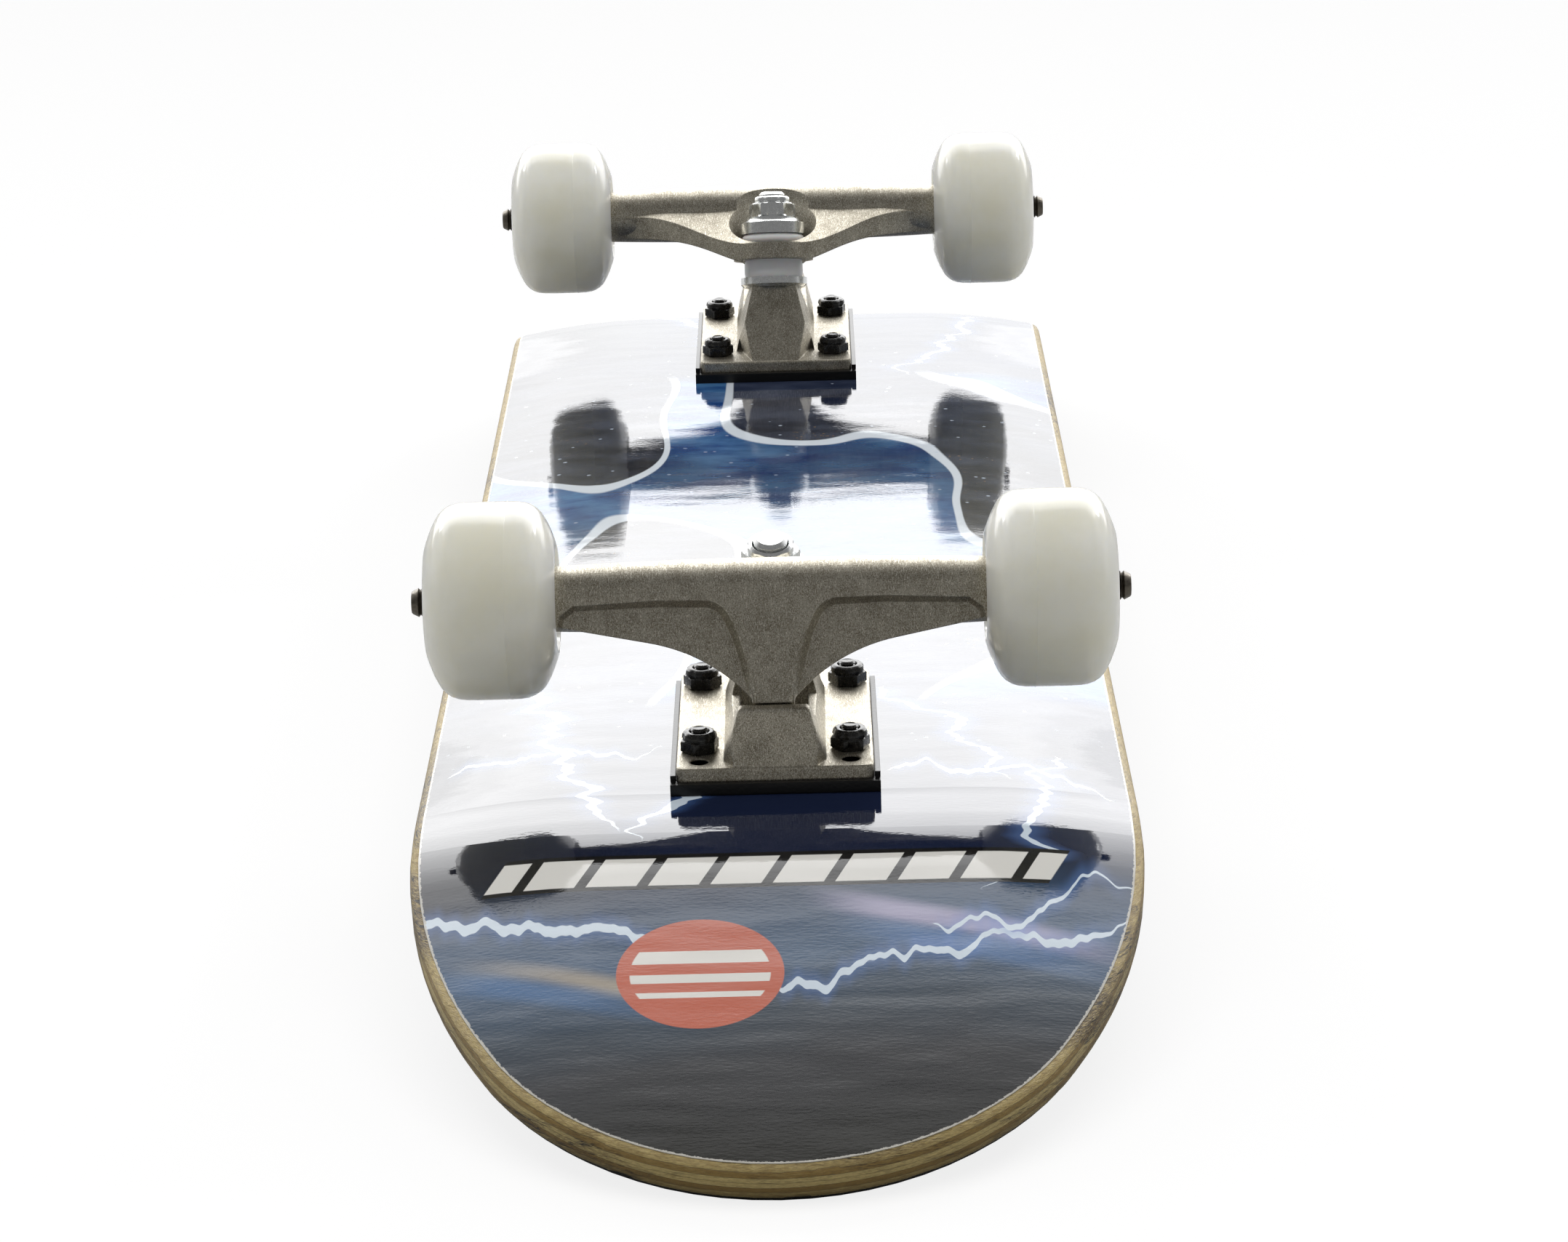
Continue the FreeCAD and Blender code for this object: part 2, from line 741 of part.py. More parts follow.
def on_boss_corner(edge):
    """The pivot block's top rim and the upright edges of its front."""
    point = middle(edge)
    stands_clear = point.z > number(PLATE_TOP) + number("boss_round")
    return stands_clear and point.y > number("rail_outer_y") + number("boss_round")


def boss_trough(body):
    """Hollow the boss between its rails, from the kingpin's seat to the cup's mouth."""
    trough = new_sketch(body, "trough", role="YZ_Plane")
    over = "2 * pivot_boss_top"
    draw_path(trough, [
        (mouth_y("trough_floor"), "trough_floor"),
        (mouth_y(over), over),
        (SEAT_LOW[0], over),
        SEAT_LOW,
        ("trough_start", "trough_floor"),
    ])
    pocket(body, trough, "2 * trough_half_width", both_ways=True)


# ---------------------------------------------------------------- pivot cup
def pivot_cup(end):
    """A urethane cup pressed into the baseplate, open to the hanger's nose."""
    body = truck_body(end, "pivot_cup")
    turned(body, "cup", frame_at(PIVOT, PIVOT_AXIS * -1, PIVOT_SIDE), [
        ("0", "cup_bore"),
        ("0", "cup_radius"),
        ("cup_depth - fit_gap", "cup_radius"),
        ("cup_depth - fit_gap", "0"),
        ("cup_depth - cup_floor", "0"),
        ("cup_depth - cup_floor", "cup_bore"),
    ])
    return body


# ---------------------------------------------------------------- kingpin group
def hexagon_block(body, name, frame, flats, height, backwards=False):
    sketch = new_sketch(body, name, frame)
    draw_hexagon(sketch, ("0", "0"), flats)
    pad(body, sketch, height, backwards=backwards)


def hexagon_chamfer(body, name, frame, flats, level, way):
    """Turn the corners off a hexagon at 30 degrees: way is +1 for its far face."""
    start, reach = "(%s / 2 - fit_gap)" % flats, "(%s / sqrt(3) + fit_gap)" % flats
    drop = "%s %s (%s - %s) * tan(30 deg)" % (level, "-" if way > 0 else "+", reach, start)
    beyond = "%s %s fit_gap" % (level, "+" if way > 0 else "-")
    turned(body, name, frame, [
        (level, start),
        (drop, reach),
        (beyond, reach),
        (beyond, start),
    ], groove=True)


def kingpin(end):
    """A bolt whose head sits in the baseplate's underside."""
    body = truck_body(end, "kingpin")
    bottom = "-kingpin_head_depth"
    turned(body, "shank", kingpin_profile_frame(), [
        (bottom, "0"),
        ("kingpin_height", "0"),
        ("kingpin_height", "kingpin_radius - kingpin_chamfer"),
        ("kingpin_height - kingpin_chamfer", "kingpin_radius"),
        (bottom, "kingpin_radius"),
    ])
    hexagon_block(body, "head", kingpin_level(bottom), "kingpin_nut_flats", "kingpin_head_height")
    hexagon_chamfer(body, "head_corners", kingpin_profile_frame(), "kingpin_nut_flats", bottom, -1)
    return body


def lock_collar(body, frame, shoulder, top, bore, radius, roll):
    """The rolled collar that stands on a lock nut's hexagon."""
    turned(body, "collar", frame, [
        (shoulder + " - nut_lip", bore),
        (shoulder + " - nut_lip", radius),
        (top + " - nut_lip", radius),
        (top, radius + " - nut_crimp"),
        (top, bore),
    ], {2: roll})


def kingpin_nut(end):
    """A lock nut: a hexagon under a rolled collar."""
    body = truck_body(end, "kingpin_nut")
    base, top = "kingpin_nut_base", "kingpin_nut_base + kingpin_nut_height"
    axis, flats = kingpin_profile_frame(), "kingpin_nut_flats"
    hexagon_block(body, "hexagon", kingpin_level(base), flats, "kingpin_nut_hex")
    shoulder = base + " + kingpin_nut_hex"
    hexagon_chamfer(body, "top_corners", axis, flats, shoulder, 1)
    hexagon_chamfer(body, "base_corners", axis, flats, base, -1)
    lock_collar(body, axis, shoulder, top, "kingpin_radius", "kingpin_nut_collar", "kingpin_nut_roll")
    bore = new_sketch(body, "bore", kingpin_level(top + " + nut_lip"))
    draw_circle(bore, ("0", "0"), "kingpin_radius + fit_gap")
    pocket(body, bore, "2 * kingpin_nut_height")
    return body


def lower_cup_washer(end):
    """A dished washer that holds the lower bushing on the baseplate's seat."""
    body = truck_body(end, "lower_cup_washer")
    rim, bore = "lower_washer_radius", "kingpin_radius + washer_gap"
    turned(body, "dish", kingpin_profile_frame(), [
        ("0", bore),
        ("0", rim + " - washer_corner"),
        ("washer_corner", rim),
        ("lower_washer_lip", rim),
        ("lower_washer_lip", rim + " - washer_wall"),
        ("lower_washer_disc", rim + " - washer_wall"),
        ("lower_washer_disc", bore),
    ])
    return body


def upper_cup_washer(end):
    """A dished washer turned down over the upper bushing."""
    body = truck_body(end, "upper_cup_washer")
    base, top, rim = "upper_washer_base", "kingpin_nut_base", "upper_washer_radius"
    bore = "kingpin_radius + washer_gap"
    turned(body, "dish", kingpin_profile_frame(), [
        (base, bore),
        (top, bore),
        (top, rim + " - 2 * washer_corner"),
        (top + " - 2 * washer_corner", rim),
        (base + " - upper_washer_skirt", rim),
        (base + " - upper_washer_skirt", rim + " - upper_washer_wall"),
        (base, rim + " - upper_washer_wall"),
    ], {2: "-2 * washer_corner"})
    return body


def lower_bushing(end):
    """A urethane barrel between the lower washer and the hanger's ring."""
    body = truck_body(end, "lower_bushing")
    wide, bore = "lower_bushing_radius", "kingpin_radius + bushing_bore_gap"
    base, top = "lower_washer_disc", "(ring_bottom + ring_seat_depth - bushing_gap)"
    turned(body, "barrel", kingpin_profile_frame(), [
        (base, bore),
        (top, bore),
        (top, wide + " - bushing_corner"),
        (top + " - bushing_corner", wide),
        (base + " + bushing_corner", wide),
        (base, wide + " - bushing_corner"),
    ])
    return body


def upper_bushing(end):
    """A urethane cone between the hanger's ring and the upper washer."""
    body = truck_body(end, "upper_bushing")
    wide, bore = "upper_bushing_radius", "kingpin_radius + bushing_bore_gap"
    foot, top = "(ring_top - ring_seat_depth + bushing_gap)", "upper_washer_base"
    seated = "ring_seat_radius - bushing_corner / 2"
    neck_foot = top + " - bushing_neck_height"
    turned(body, "cone", kingpin_profile_frame(), [
        (foot, bore),
        (top, bore),
        (top, "bushing_neck"),
        (neck_foot, "bushing_neck"),
        (neck_foot, wide + " - bushing_corner"),
        (neck_foot + " - bushing_corner", wide),
        ("ring_top + bushing_corner", wide),
        ("ring_top", seated),
        (foot, seated + " - bushing_corner"),
    ], {5: "bushing_swell"})
    return body


# ---------------------------------------------------------------- mounting hardware
def mounting_bolts(end):
    """Four countersunk bolts from the riding side through deck, riser and plate."""
    body = truck_body(end, "mounting_bolts")
    bottom = "-(film_thickness + wood_thickness + grip_thickness)"
    cone = "-(film_thickness + wood_thickness)"
    taper = "(bolt_head_radius - bolt_radius)"
    for side, row in mount_places():
        foot = Vector(number(side), number(row), 0)
        turned(body, "bolt", frame_at(foot, UP, ACROSS), [
            (bottom, "0"),
            ("bolt_tip", "0"),
            ("bolt_tip", "bolt_radius - bolt_chamfer"),
            ("bolt_tip - bolt_chamfer", "bolt_radius"),
            (cone + " + " + taper, "bolt_radius"),
            (cone, "bolt_head_radius"),
            (bottom, "bolt_head_radius"),
        ])
    return body


def mounting_nuts(end):
    """Four lock nuts on the plate, each a hexagon under a crimped collar."""
    body = truck_body(end, "mounting_nuts")
    shoulder, top = PLATE_TOP + " + bolt_nut_hex", PLATE_TOP + " + bolt_nut_height"
    hexagons = new_sketch(body, "hexagons", level_frame(PLATE_TOP))
    for centre in mount_places():
        draw_hexagon(hexagons, centre, "bolt_nut_flats")
    pad(body, hexagons, "bolt_nut_hex")
    for side, row in mount_places():
        foot = Vector(number(side), number(row), 0)
        axis = frame_at(foot, UP, ACROSS)
        hexagon_chamfer(body, "corners", axis, "bolt_nut_flats", shoulder, 1)
        lock_collar(body, axis, shoulder, top, "bolt_radius", "bolt_nut_collar", "bolt_nut_roll")
    bores = new_sketch(body, "bores", level_frame(PLATE_TOP))
    for centre in mount_places():
        draw_circle(bores, centre, "bolt_radius + fit_gap")
    pocket(body, bores, "4 * bolt_nut_height", both_ways=True)
    return body


# ---------------------------------------------------------------- hanger
def hanger(end):
    """The cast T that carries the axle, swings on its nose and rides on the bushings."""
    body = truck_body(end, "hanger")
    hanger_beam(body)
    hanger_web(body)
    hanger_yoke(body)
    hanger_ring(body)
    hanger_rib(body)
    hanger_cuts(body)
    return body


BEAM_CROWN_RADIUS = "((hanger_half_width ^ 2 + beam_crown ^ 2) / (2 * beam_crown))"


def hanger_beam(body):
    """A round beam about the axle, a little stouter at its middle."""
    turned(body, "beam", axle_frame(), [
        ("-hanger_half_width", "0"),
        ("hanger_half_width", "0"),
        ("hanger_half_width", "beam_end_radius"),
        ("-hanger_half_width", "beam_end_radius"),
    ], {2: BEAM_CROWN_RADIUS})


def hanger_web(body):
    """The leaning web below the beam: flush with its front and crowned as it is."""
    lean = math.radians(number("web_lean"))
    down = Vector(0, math.sin(lean), -math.cos(lean))
    out = Vector(0, math.cos(lean), math.sin(lean))
    web = new_sketch(body, "web", frame_at(AXLE + out * number("web_back"), ACROSS, down))
    half = [
        ("web_end", "-web_ridge"),
        ("web_end", "7.6"),
        ("34", "12.8"),
        ("stem_half_width + 0.35", "28.6"),
        ("stem_half_width", "web_foot"),
    ]
    draw_path(web, half + mirrored(reversed(half)), {2: "-web_fall", 6: "-web_fall"})
    pad(body, web, "web_face + beam_crown - web_back")
    wide, proud = "hanger_half_width", "web_face + 2 * beam_crown"
    front = new_sketch(body, "web_front", frame_at(AXLE, ACROSS, out))
    outline = [(wide, "web_face"), (wide, proud), ("-" + wide, proud), ("-" + wide, "web_face")]
    draw_path(front, outline, {3: "-" + BEAM_CROWN_RADIUS})
    pocket(body, front, "4 * web_foot", both_ways=True)
    sunk_panels(body, down, out)


def sunk_panels(body, down, out):
    """Sink a drafted panel into the web each side of its stem."""
    panels = new_sketch(body, "panels", frame_at(AXLE + out * number("panel_face"), ACROSS, down))
    beyond = "web_foot + 2"
    border = [
        ("panel_end", "11"),
        ("panel_end - 1", "6"),
        ("panel_end - 4", "3.8"),
        ("31", "3.2"),
        ("17.6", "3.6"),
        ("13.2", "7"),
        ("11.2", "11.2"),
        ("9.3", "17.4"),
        ("stem_half_width + 1", "27.6"),
        ("stem_half_width + 1", beyond),
        ("panel_end", beyond),
    ]
    draw_path(panels, border, {4: "-panel_corner"})
    draw_path(panels, mirrored(border), {4: "panel_corner"})
    depth = "web_face + beam_crown - panel_face + fit_gap"
    sunk = pocket(body, panels, depth, backwards=True)
    sunk.setExpression("TaperAngle", bound("panel_draft"))


def hanger_yoke(body):
    """Two wings from the beam down to the ring, lofted through views from the side.

    Each view has the wing's rim and foot: how far beyond the kingpin, how far up it.
    """
    wing = [
        ("0", ("11.5", "ring_top"), ("11", "ring_bottom")),
        ("15", ("8", "ring_top + 0.4"), ("6.5", "ring_bottom + 0.4")),
        ("24", ("2.5", "19.2"), ("0", "14.2")),
        ("35", ("-3.5", "24.2"), ("-6.5", "17.8")),
        ("47", ("-7.8", "27.0"), ("-11.5", "19.4")),
        ("hanger_half_width - 4", ("-9.2", "27.2"), ("-13", "20.7")),
    ]
    beam_reach = (SEAT - AXLE).dot(KINGPIN_SIDE)
    beam_level = (AXLE - SEAT).dot(KINGPIN_AXIS)
    for side in (1, -1):
        views = []
        for across, rim, foot in wing:
            place = SEAT + ACROSS * side * number(across)
            view = new_sketch(body, "wing_view", frame_at(place, KINGPIN_SIDE * -1, KINGPIN_AXIS))
            draw_path(view, [
                ("%.4f" % beam_reach, "%.4f" % beam_level),
                ("%.4f" % beam_reach, "%.4f + beam_end_radius - 0.4" % beam_level),
                rim,
                foot,
                ("%.4f" % beam_reach, "%.4f - beam_end_radius + 0.4" % beam_level),
            ])
            views.append(view)
        loft = body.newObject("PartDesign::AdditiveLoft", "wing")
        loft.Profile = views[0]
        loft.Sections = views[1:]
        doc.recompute()


def hanger_ring(body):
    """The ring that the two bushings clamp."""
    ring = new_sketch(body, "ring", kingpin_level("ring_bottom"))
    draw_circle(ring, ("0", "0"), "ring_radius")
    pad(body, ring, "ring_top - ring_bottom")
    below = new_sketch(body, "below_ring", kingpin_level("ring_bottom"))
    draw_circle(below, ("0", "0"), "ring_radius")
    pocket(body, below, "ring_clearance")


def hanger_rib(body):
    """The central rib from the beam to the pivot, ending in the round nose."""
    rib = new_sketch(body, "rib", role="YZ_Plane")
    draw_path(rib, [
        ("axle_y", "axle_z"),
        ("24.55", "51.1"),
        ("34.8", "22.9"),
        ("32.7", "18.4"),
        ("26.8", "10.0"),
        ("6.2", "30.5"),
        ("4", "40"),
    ])
    pad(body, rib, "2 * stem_half_width", both_ways=True)
    tip = "-nose_length"
    turned(body, "nose", frame_at(PIVOT, PIVOT_AXIS, PIVOT_SIDE), [
        (tip, "0"),
        ("nose_root", "0"),
        ("nose_root", "nose_radius"),
        (tip + " + nose_round", "nose_radius"),
        (tip, "nose_radius - nose_round"),
    ], {3: "nose_round"})


def hanger_cuts(body):
    """Bores for the axle and kingpin, the bushings' seats and the bowl for the nut."""
    foot = new_sketch(body, "bowl_foot", kingpin_level("ring_top"))
    draw_circle(foot, ("0", "0"), "bowl_foot_radius")
    mouth = new_sketch(body, "bowl_mouth", kingpin_level("bowl_mouth"))
    draw_ellipse(mouth, ("0", "-bowl_offset"), "bowl_half_width", "bowl_half_depth")
    bowl = body.newObject("PartDesign::SubtractiveLoft", "bowl")
    bowl.Profile = foot
    bowl.Sections = [mouth]
    doc.recompute()
    bore = new_sketch(body, "ring_bore", kingpin_level("ring_bottom"))
    draw_circle(bore, ("0", "0"), "ring_bore")
    pocket(body, bore, "kingpin_height", both_ways=True)
    for name, level, upward in (("lower", "ring_bottom", True), ("upper", "ring_top", False)):
        seat = new_sketch(body, name + "_seat", kingpin_level(level))
        draw_circle(seat, ("0", "0"), "ring_seat_radius")
        pocket(body, seat, "ring_seat_depth", backwards=upward)
    axle_hole = new_sketch(body, "axle_hole", frame_at(AXLE, ALONG, UP))
    draw_circle(axle_hole, ("0", "0"), "axle_radius + fit_gap")
    pocket(body, axle_hole, "3 * hanger_half_width", both_ways=True)


# ---------------------------------------------------------------- axle and its hardware
def axle(end):
    body = truck_body(end, "axle")
    tip, shoulder = "axle_half_length", "axle_radius - axle_chamfer"
    turned(body, "rod", axle_frame(), [
        ("-" + tip, "0"),
        (tip, "0"),
        (tip, shoulder),
        (tip + " - axle_chamfer", "axle_radius"),
        ("axle_chamfer - " + tip, "axle_radius"),
        ("-" + tip, shoulder),
    ])
    return body


def ring_profile(start, stop, inner, outer):
    return [(start, inner), (stop, inner), (stop, outer), (start, outer)]


INNER_BEARING = "(hanger_half_width + speed_ring)"
OUTER_BEARING = "(hanger_half_width + speed_ring + bearing_width + spacer_length)"


def speed_rings(end):
    """Thin washers each side of each pair of bearings."""
    body = truck_body(end, "speed_rings")
    bore, wide = "axle_radius + fit_gap", "speed_ring_radius"
    for side in (1, -1):
        sketch = new_sketch(body, "rings", axle_frame(side))
        for start in ("hanger_half_width", OUTER_BEARING + " + bearing_width"):
            draw_path(sketch, ring_profile(start, start + " + speed_ring", bore, wide))
        revolve(body, sketch)
    return body


def bearing_spacers(end):
    """Tubes that keep each pair of bearings apart inside the wheels."""
    body = truck_body(end, "bearing_spacers")
    start = INNER_BEARING + " + bearing_width"
    tube = ring_profile(start, start + " + spacer_length", "axle_radius + fit_gap", "spacer_radius")
    for side in (1, -1):
        turned(body, "tube", axle_frame(side), tube)
    return body


def race_profile(start, inner, outer, grooved):
    """A race's half section, grooved for the balls on the side that is named."""
    stop = start + " + bearing_width"
    middle_x = start + " + bearing_width / 2"
    land = outer if grooved == "outer" else inner
    groove = "(ball_radius + groove_gap)"
    depth = "(ball_circle - (%s))" % land if grooved == "outer" else "((%s) - ball_circle)" % land
    half = "sqrt(%s ^ 2 - %s ^ 2)" % (groove, depth)
    if grooved == "outer":
        corners = [(start, inner), (stop, inner), (stop, outer)]
        corners += [("%s + %s" % (middle_x, half), outer), ("%s - %s" % (middle_x, half), outer)]
        corners += [(start, outer)]
        return corners, {3: "-" + groove}
    corners = [(start, inner), ("%s - %s" % (middle_x, half), inner)]
    corners += [("%s + %s" % (middle_x, half), inner), (stop, inner)]
    corners += [(stop, outer), (start, outer)]
    return corners, {1: "-" + groove}


def bearing_inner_races(end):
    body = truck_body(end, "bearing_inner_races")
    bore = "axle_radius + fit_gap"
    for side in (1, -1):
        sketch = new_sketch(body, "races", axle_frame(side))
        for start in (INNER_BEARING, OUTER_BEARING):
            corners, arcs = race_profile(start, bore, "inner_race_radius", "outer")
            draw_path(sketch, corners, arcs)
        revolve(body, sketch)
    return body


def axle_nuts(end):
    """A lock nut on each end of the axle."""
    body = truck_body(end, "axle_nuts")
    base = "(%s + bearing_width + speed_ring)" % OUTER_BEARING
    shoulder, top = base + " + axle_nut_hex", base + " + axle_nut_height"
    for side in (1, -1):
        face = frame_at(AXLE + ACROSS * side * number(base), ALONG, UP * side)
        hexagon_block(body, "hexagon", face, "axle_nut_flats", "axle_nut_hex")
        axis = axle_frame(side)
        hexagon_chamfer(body, "corners", axis, "axle_nut_flats", shoulder, 1)
        lock_collar(body, axis, shoulder, top, "axle_radius", "axle_nut_collar", "bolt_nut_roll")
    bore = new_sketch(body, "bore", frame_at(AXLE, ALONG, UP))
    draw_circle(bore, ("0", "0"), "axle_radius + fit_gap")
    pocket(body, bore, "3 * axle_half_length", both_ways=True)
    return body


# ---------------------------------------------------------------- wheels
def wheel_side(end, side):
    """The truck's own sign for the board's left (-X) or right (+X) side."""
    sign = 1 if side == "right" else -1
    return sign if end == "tail" else -sign


def wheel(end, side):
    """A cast urethane wheel with crowned lips and a bearing seat in each dished face."""
    body = truck_body(end, side + "_wheel")
    centre = "((wheel_inner_face + wheel_outer_face) / 2)"
    half = "((wheel_outer_face - wheel_inner_face) / 2)"
    seat, floor = "(spacer_length / 2)", half + " - wheel_dish"
    turn = "(wheel_shoulder_turn * 1 deg)"
    bend_x = "(wheel_half_tread + wheel_shoulder * sin(%s))" % turn
    bend_r = "(wheel_radius - wheel_shoulder * (1 - cos(%s)))" % turn
    run, fall = "(%s - %s)" % (half, bend_x), "(%s - wheel_lip_radius)" % bend_r
    lean = "(%s * cos(%s) - %s * sin(%s))" % (fall, turn, run, turn)
    crown = "(%s ^ 2 + %s ^ 2) / (2 * %s)" % (run, fall, lean)
    outer_half = [
        (seat, "wheel_hub_bore"),
        (seat, "bearing_radius + fit_gap"),
        (floor, "bearing_radius + fit_gap"),
        (floor, "wheel_dish_radius"),
        (half, "wheel_lip_radius"),
        (bend_x, bend_r),
        ("wheel_half_tread", "wheel_radius"),
    ]
    corners = ["%s + %s" % (centre, x) for x, _ in outer_half]
    corners += ["%s - (%s)" % (centre, x) for x, _ in reversed(outer_half)]
    radii = [r for _, r in outer_half] + [r for _, r in reversed(outer_half)]
    arcs = {4: crown, 5: "wheel_shoulder", 7: "wheel_shoulder", 8: crown}
    turned(body, "tyre", axle_frame(wheel_side(end, side)), list(zip(corners, radii)), arcs)
    return body


def bearing_outer_races(end, side):
    body = truck_body(end, side + "_bearing_outer_races")
    sketch = new_sketch(body, "races", axle_frame(wheel_side(end, side)))
    for start in (INNER_BEARING, OUTER_BEARING):
        corners, arcs = race_profile(start, "outer_race_radius", "bearing_radius", "inner")
        draw_path(sketch, corners, arcs)
    revolve(body, sketch)
    return body


def bearing_shields(end, side):
    """Pressed covers that close both faces of each bearing."""
    body = truck_body(end, side + "_bearing_shields")
    sketch = new_sketch(body, "covers", axle_frame(wheel_side(end, side)))
    for start in (INNER_BEARING, OUTER_BEARING):
        for inset in ("shield_inset", "bearing_width - shield_inset - shield_thickness"):
            face = "%s + %s" % (start, inset)
            cover = ring_profile(face, face + " + shield_thickness", "shield_inner", "shield_outer")
            draw_path(sketch, cover)
    revolve(body, sketch)
    return body


def bearing_balls(end, side):
    """Seven balls in each of the wheel's two bearings."""
    body = truck_body(end, side + "_bearing_balls")
    sign = wheel_side(end, side)
    count = 7
    for start in (INNER_BEARING, OUTER_BEARING):
        along = ACROSS * sign * number(start + " + bearing_width / 2")
        for turn in range(count):
            angle = 2 * math.pi * turn / count
            out = UP * math.cos(angle) + ALONG * math.sin(angle)
            place = AXLE + along + out * number("ball_circle")
            turned(body, "ball", frame_at(place, ACROSS, out), [
                ("-ball_radius", "0"),
                ("ball_radius", "0"),
                ("0", "ball_radius"),
            ], {1: "ball_radius", 2: "ball_radius"})
    return body


# ---------------------------------------------------------------- build and write
SUBPARTS = [deck(), printed_film(), grip_tape()]
for truck in ("nose", "tail"):
    for piece in (
        riser_pad, baseplate, pivot_cup, kingpin, kingpin_nut, lower_cup_washer,
        upper_cup_washer, lower_bushing, upper_bushing, mounting_bolts, mounting_nuts,
        hanger, axle, speed_rings, bearing_spacers, bearing_inner_races, axle_nuts,
    ):
        SUBPARTS.append(piece(truck))
    for hand in ("left", "right"):
        for piece in (wheel, bearing_outer_races, bearing_shields, bearing_balls):
            SUBPARTS.append(piece(truck, hand))
doc.recompute()

for item in doc.Objects:
    if "Invalid" in item.State or "Error" in item.State:
        raise ValueError("%s did not recompute" % item.Name)
for body in SUBPARTS:
    if body.Shape.isNull() or not body.Shape.isValid():
        raise ValueError("%s has no sound shape" % body.Label)
for body in SUBPARTS:
    body.Shape.exportStep("parts/%s.step" % body.Label)
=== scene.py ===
import json
import math

import bmesh
import bpy
from mathutils import Matrix, Vector


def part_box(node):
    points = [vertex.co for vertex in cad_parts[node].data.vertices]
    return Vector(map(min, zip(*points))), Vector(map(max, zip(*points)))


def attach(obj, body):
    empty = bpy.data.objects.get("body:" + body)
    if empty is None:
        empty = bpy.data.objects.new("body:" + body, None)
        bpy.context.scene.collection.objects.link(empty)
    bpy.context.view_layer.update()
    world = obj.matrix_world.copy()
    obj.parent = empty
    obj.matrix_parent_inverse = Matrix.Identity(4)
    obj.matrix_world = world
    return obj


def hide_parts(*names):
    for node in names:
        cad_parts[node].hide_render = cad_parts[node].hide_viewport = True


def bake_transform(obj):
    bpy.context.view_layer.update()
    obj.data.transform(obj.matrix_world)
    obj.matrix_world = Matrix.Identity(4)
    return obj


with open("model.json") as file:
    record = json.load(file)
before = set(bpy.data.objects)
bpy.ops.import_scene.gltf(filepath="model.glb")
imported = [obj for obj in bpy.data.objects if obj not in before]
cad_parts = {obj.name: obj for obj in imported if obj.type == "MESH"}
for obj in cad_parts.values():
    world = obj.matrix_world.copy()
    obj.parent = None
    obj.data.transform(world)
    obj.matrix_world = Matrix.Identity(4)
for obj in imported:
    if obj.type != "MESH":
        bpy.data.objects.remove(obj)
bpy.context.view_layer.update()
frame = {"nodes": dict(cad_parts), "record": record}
MM = 0.001
nodes = frame["nodes"]
collection = bpy.context.scene.collection

# ---------------------------------------------------------------- view, floor and light
# A long lens from just beyond the nose, on a white floor in front of a white wall.
# A tall soft panel stands beyond the tail and a broad one hangs overhead.
camera_data = bpy.data.cameras.new("studio_camera")
camera_data.sensor_width = 36.0
camera_data.lens = 107.1
camera_data.clip_end = 50.0
camera = bpy.data.objects.new("studio_camera", camera_data)
collection.objects.link(camera)
bpy.context.scene.camera = camera
CAMERA_PLACE = Vector((12.0, -1438.9, 498.1)) * MM
LOOK_DOWN, LOOK_ASIDE, TILT = (math.radians(a) for a in (18.40, -0.41, -1.55))
ahead = Vector((
    math.sin(LOOK_ASIDE) * math.cos(LOOK_DOWN),
    math.cos(LOOK_ASIDE) * math.cos(LOOK_DOWN),
    -math.sin(LOOK_DOWN),
))
level = Vector((math.cos(LOOK_ASIDE), -math.sin(LOOK_ASIDE), 0))
above = level.cross(ahead)
side_way = level * math.cos(TILT) + above * math.sin(TILT)
up_way = above * math.cos(TILT) - level * math.sin(TILT)
camera.matrix_world = Matrix.Translation(CAMERA_PLACE) @ Matrix(
    (side_way, up_way, -ahead)
).transposed().to_4x4()
bpy.context.scene.view_settings.view_transform = "Standard"


